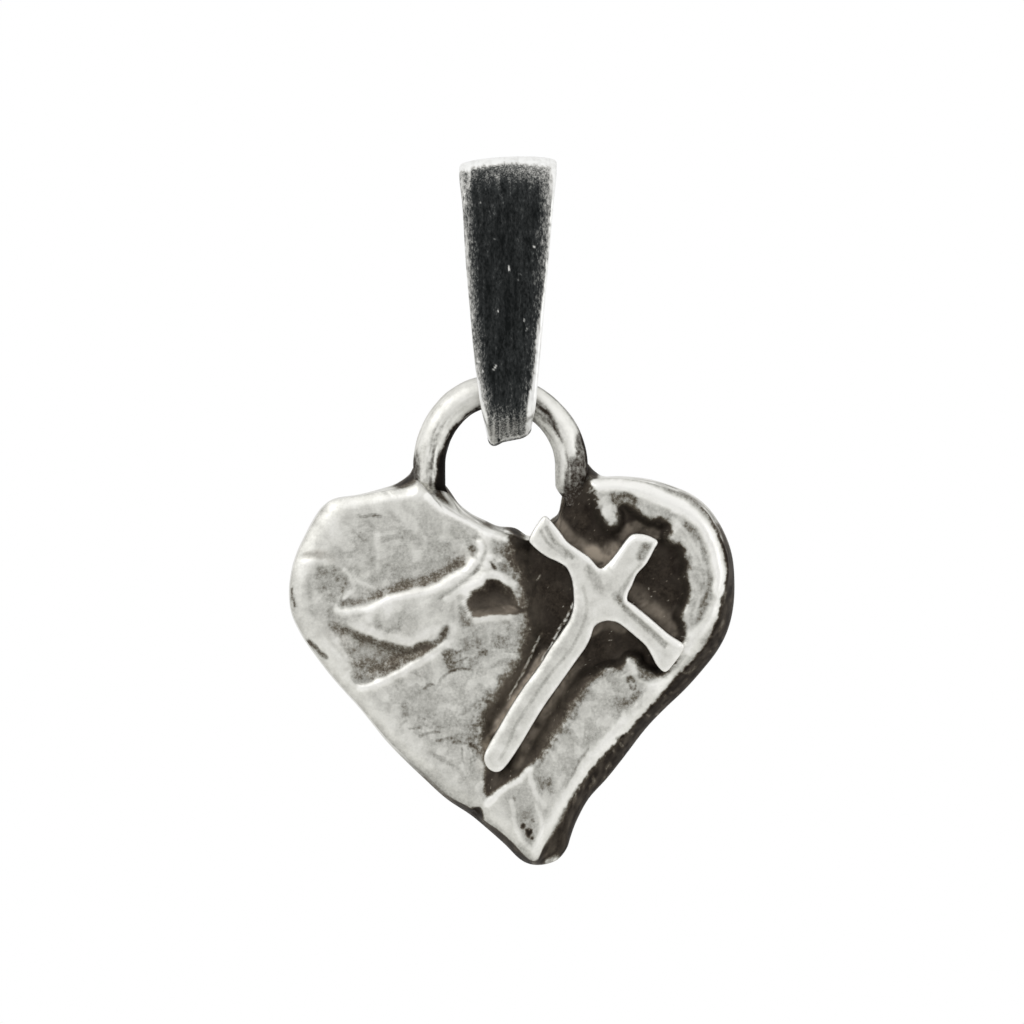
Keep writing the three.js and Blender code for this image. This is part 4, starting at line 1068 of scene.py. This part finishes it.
def bail_tone_and_painted_light(height, spots, aside, from_left, from_right, from_tip, front):
    """Dark faces of the strip, worn bright along its edges, crown and tip, with painted highlights and
    shadow.
    """
    lines, hairs, grit = [waves(spots, *brush) for brush in (BRUSH_LINES, BRUSH_HAIRS, BRUSH_GRIT)]
    haze = (lines + grit) / 2
    left_edge = from_left - np.interp(height, *BRIGHT_LEFT)
    right_edge = from_right - np.interp(height, *BRIGHT_RIGHT)
    crown = height - CROWN_HEIGHT - CROWN_FALL * aside ** 2 + CROWN_TILT * aside
    band = BAND_LEVEL - BAND_LOWER * ease(*BAND_ROWS, height)
    band_width = np.interp(height, *WORN_LEFT)
    upper = ease(*SHEEN_ROWS, height)
    # bright wear with painted light among it: the crown line in part, the glow and the sheen are painted
    # highlights
    worn = [
        ease(*LEFT_FADE, left_edge + LEFT_HAZE * haze) * mix(LEFT_MIX, grit),
        ease(band_width, 0, from_left + BAND_HAZE * haze) * mix((band, *BAND_MIX), lines, grit),
        ease(*RIGHT_FADE, right_edge + RIGHT_HAZE * haze) * BRIGHT,
        ease(*SHEEN_FADE, right_edge + SHEEN_HAZE * haze) * mix(SHEEN_MIX, upper, lines),
        ease(*CROWN_FADE, crown + CROWN_HAZE * haze) * BRIGHT,
        ease(*GLOW_FADE, crown + GLOW_HAZE * lines) * mix(GLOW_MIX, aside, lines, grit),
        ease(*TIP_ROWS, height + TIP_HAZE * lines) * mix(TIP_MIX, hairs, grit),
        # the back layer's bead is kept dark as a painted shadow under the front one
        ease(*BEAD_FADE, from_tip + haze) * np.where(front, BRIGHT, SHADED_BACK_BEAD),
    ]
    return mix(STRIP_DARK_FACE, lines, grit) - WEAR_AND_HIGHLIGHT * np.max(worn, 0)


def make_bail(material):
    """A tapered strip folded over on itself, its two tips lapped under the wire."""
    bail, turn, share = make_rod("folded_bail", BAIL_SIDES, BAIL_CUTS)
    middle, outward, length = along(bail_line(), share)
    height = middle[:, 1]
    half = BAIL_HALF_TOP + (BAIL_HALF_WIRE - BAIL_HALF_TOP) * height / EYE_LEVEL
    ends = np.minimum(share, 1 - share) * length
    across, through = strip_section(turn, half, ends).T
    flat = middle + outward * through[:, None]
    places = np.stack([across, flat[:, 0], flat[:, 1]], 1)
    trim_strip(places, across / half, height, share > 0.5)
    spots = np.stack([places[:, 0], share * length], 1)
    places[:, 1] += STRIP_DENTS * grain(spots, *STRIP_DENT_GRAIN) * np.sign(places[:, 1])
    set_points(bail, places * MM)
    edit(FACE_OUTWARDS)
    photo = seen_pixels(places)
    from_left, from_right, from_tip = np.array([half + across, half - across, ends]) * PIXELS_PER_MM
    tarnish_and_painted_light = bail_tone_and_painted_light(photo[:, 1], spots, across / half, from_left, from_right, from_tip, share < 0.5)
    tarnish_and_painted_light += strokes(DINGS, photo)[1] * (places[:, 1] < 0)
    finish_piece(bail, {"tarnish_and_painted_light": tarnish_and_painted_light}, material, "bail", "bail", angle=50)


# Materials


def linear(colour):
    """An sRGB hex colour as linear red, green, blue and alpha."""
    shares = [int(colour[place:place + 2], 16) / 255 for place in (1, 3, 5)]
    return [share / 12.92 if share <= 0.04045 else ((share + 0.055) / 1.055) ** 2.4 for share in shares] + [1]


def add(tree, kind, inputs=(), **settings):
    """Adds a node, sets it, and fills its inputs with values or links."""
    node = tree.nodes.new("ShaderNode" + kind)
    for name, value in settings.items():
        setattr(node, name, value)
    for key, value in dict(inputs).items():
        if isinstance(value, bpy.types.NodeSocket):
            tree.links.new(value, node.inputs[key])
        else:
            node.inputs[key].default_value = value
    return node


def scale_of(size):
    """Scale of a pattern that changes over a size in millimetres."""
    return 1 / (size * MM)


def antiqued_silver(name, tones, flecks, edge_tone, speck, stretch, gloss, dents):
    """Silver darkened all over and rubbed bright again where a cloth reaches, plus the painted light its
    marks carry.
    """
    material = bpy.data.materials.new(name)
    material.use_nodes = True
    tree = material.node_tree
    tree.nodes.clear()
    place = add(tree, "TexCoord").outputs["Object"]
    place = add(tree, "Mapping", {"Vector": place, "Scale": stretch}).outputs["Vector"]
    # the tarnish attribute, which also carries the pieces' painted shade, reflections and highlights
    stain = add(tree, "Attribute", attribute_name="tarnish_and_painted_light").outputs["Fac"]
    fine, broad = [
        add(tree, "TexNoise", {"Vector": place, "Scale": scale_of(speck * size), **noise}).outputs[0]
        for size, noise in (FINE_NOISE, BROAD_NOISE)
    ]
    spread = add(tree, "MapRange", enumerate([stain, *flecks])).outputs[0]
    smooth = add(tree, "MapRange", enumerate([stain, *CRUST_FLECKS])).outputs[0]
    cloud = add(tree, "MapRange", enumerate([broad, *BROAD_RANGE])).outputs[0]
    level = fine
    for operation, value in (("SUBTRACT", 0.5), ("MULTIPLY", spread), ("MULTIPLY", smooth), ("ADD", stain)):
        level = add(tree, "Math", {0: level, 1: value}, operation=operation).outputs[0]
    level = add(tree, "Math", {0: level, 1: cloud}, operation="ADD", use_clamp=True).outputs[0]
    colour = add(tree, "ValToRGB", {"Fac": level})
    stops = colour.color_ramp.elements
    stops.remove(stops[1])
    stops[0].position, stops[0].color = tones[0][0], linear(tones[0][1])
    for position, tone in tones[1:]:
        stops.new(position).color = linear(tone)
    rubbed = add(tree, "Attribute", attribute_name="rubbed").outputs["Fac"]
    both_tones = {"Factor": rubbed, 6: colour.outputs[0], 7: linear(RUBBED_TONE)}
    colour = add(tree, "Mix", both_tones, data_type="RGBA").outputs[2]
    rough = add(tree, "MapRange", enumerate([level, *ROUGH_FROM, gloss, ROUGH_CRUST])).outputs[0]
    bump = add(tree, "Bump", {"Height": fine, "Strength": dents, "Distance": DENT_DEPTH * MM}).outputs[0]
    silver = add(tree, "BsdfPrincipled", {
        "Base Color": colour, "Metallic": 1.0, "Roughness": rough, "Specular Tint": linear(edge_tone),
        "Normal": bump,
    }).outputs[0]
    add(tree, "OutputMaterial", {"Surface": silver})
    return material


RUBBED_TONE = "#a59a8c"  # smooth taupe
# Noise that breaks up the tarnish: its size in specks and its settings, and what the broad one adds
FINE_NOISE = 1, {"Detail": 3.0, "Roughness": 0.7}
BROAD_NOISE = 5, {"Detail": 2.0}
BROAD_RANGE = (0.3, 0.7, -0.05, 0.05)
# Flecks: tarnish where they start to grow and where they are strongest, and how strong they are at both
CAST_FLECKS = (0.26, 0.6, 0.2, 0.85)
WIRE_FLECKS = (0.08, 0.5, 0.1, 0.8)
STRIP_FLECKS = (0.08, 0.5, 0.15, 1.4)
CRUST_FLECKS = (0.7, 0.95, 1.0, 0.3)  # the share of them that is left on the darkest crust of all three
# The crust is rough and the bare metal has its own gloss, between these levels of tarnish
ROUGH_FROM, ROUGH_CRUST = (0.05, 0.8), 0.55
DENT_DEPTH = 0.02
# Cast silver: a soft satin skin with grey haze in the hollows and a brown-black crust in the channel
CAST_TONES = [(0.0, "#f7f6f2"), (0.2, "#dcdbd5"), (0.42, "#a8a7a1"), (0.6, "#6f6a60"), (0.78, "#49423a"),
              (1.0, "#27221e")]
# Drawn silver wire: long polished highlights, brown in the corners of its feet
WIRE_TONES = [(0.0, "#f4f3ee"), (0.25, "#d2d1cb"), (0.5, "#8b8983"), (0.75, "#3f3832"), (1.0, "#1b1816")]
# Rolled silver strip, brushed along its length: dark blue-black faces with bright worn edges
STRIP_TONES = [(0.0, "#fafaf8"), (0.25, "#cac9c5"), (0.5, "#7e7e7b"), (0.75, "#393b3b"), (1.0, "#191b1b")]

# Studio
PENDANT_MIDDLE = (0, 0, -0.022)
WHITE_ABOVE, WHITE_BELOW = (0, 0.8, 0.6), (0, 0.8, -0.5)  # directions in which the backdrop is white
BACKDROP_RANGE = (-1.0, 0.4, 0.74, 1.0)  # from straight away from them to near them, pale grey to white
STUDIO_LIGHT = 0.9
FLOOR_SIZE, FLOOR_HEIGHT = 0.18, -0.062
PAPER_TONE, PAPER_ROUGHNESS = "#f4f4f2", 0.9


def aim(thing, place, target):
    thing.location = place
    thing.rotation_euler = (Vector(target) - Vector(place)).to_track_quat("-Z", "Y").to_euler()


def make_camera():
    middle = to_mm(FRAME_MIDDLE) * MM
    lens = bpy.data.cameras.new("long_lens")
    lens.lens, lens.sensor_width = LENS, SENSOR
    camera = bpy.data.objects.new("camera", lens)
    bpy.context.scene.collection.objects.link(camera)
    aim(camera, (middle[0], -CAMERA_AWAY * MM, middle[1]), (middle[0], 0, middle[1]))
    bpy.context.scene.camera = camera


def make_lamp(name, place, size, power):
    lamp = bpy.data.lights.new(name, "AREA")
    lamp.size, lamp.energy = size, power
    thing = bpy.data.objects.new(name, lamp)
    bpy.context.scene.collection.objects.link(thing)
    aim(thing, place, PENDANT_MIDDLE)


def make_world():
    """White behind the pendant, overhead and below, falling to pale grey in front of it."""
    world = bpy.data.worlds.new("studio")
    bpy.context.scene.world = world
    world.use_nodes = True
    tree = world.node_tree
    tree.nodes.clear()
    way = add(tree, "TexCoord").outputs["Generated"]
    upper, lower = [
        add(tree, "VectorMath", {0: way, 1: white}, operation="DOT_PRODUCT").outputs["Value"]
        for white in (WHITE_ABOVE, WHITE_BELOW)
    ]
    white = add(tree, "Math", {0: upper, 1: lower}, operation="MAXIMUM").outputs[0]
    shade = add(tree, "MapRange", enumerate([white, *BACKDROP_RANGE])).outputs[0]
    backdrop = add(tree, "Background", {"Color": shade, "Strength": 1.0}).outputs[0]
    light = add(tree, "Background", {"Color": linear("#ffffff"), "Strength": STUDIO_LIGHT}).outputs[0]
    ray = add(tree, "LightPath").outputs
    seen = ray["Is Camera Ray"]
    for kind in ("Is Glossy Ray", "Is Transmission Ray"):
        seen = add(tree, "Math", {0: seen, 1: ray[kind]}, operation="MAXIMUM").outputs[0]
    mixed = add(tree, "MixShader", {0: seen, 1: light, 2: backdrop}).outputs[0]
    add(tree, "OutputWorld", {"Surface": mixed})


def make_floor():
    place = (0, 0, FLOOR_HEIGHT)
    floor = start_piece("floor", bpy.ops.mesh.primitive_plane_add, size=FLOOR_SIZE, location=place)
    paper = bpy.data.materials.new("matt_white_paper")
    paper.use_nodes = True
    shader = paper.node_tree.nodes["Principled BSDF"].inputs
    shader["Base Color"].default_value = linear(PAPER_TONE)
    shader["Roughness"].default_value = PAPER_ROUGHNESS
    floor.data.materials.append(paper)


bpy.context.scene.view_settings.view_transform = "Standard"
cast = antiqued_silver("cast_silver_darkened_and_rubbed", CAST_TONES, CAST_FLECKS, edge_tone="#e0e0e0",
                       speck=0.15, stretch=(1, 1, 1), gloss=0.42, dents=0.6)
wire = antiqued_silver("drawn_silver_wire_polished", WIRE_TONES, WIRE_FLECKS, edge_tone="#d0d0d0",
                       speck=0.16, stretch=(1, 1, 1), gloss=0.48, dents=0.4)
strip = antiqued_silver("rolled_silver_strip_dark_faces", STRIP_TONES, STRIP_FLECKS, edge_tone="#f0f0f0",
                        speck=0.09, stretch=(1, 1, 0.42), gloss=0.3, dents=0.4)
make_heart(cast)
make_cross(cast)
make_loop(wire)
make_bail(strip)
make_camera()
make_lamp("key", place=(-0.2, -0.24, 0.17), size=0.24, power=0.26)
make_lamp("fill", place=(0.26, -0.2, 0.02), size=0.2, power=0.08)
make_world()
make_floor()
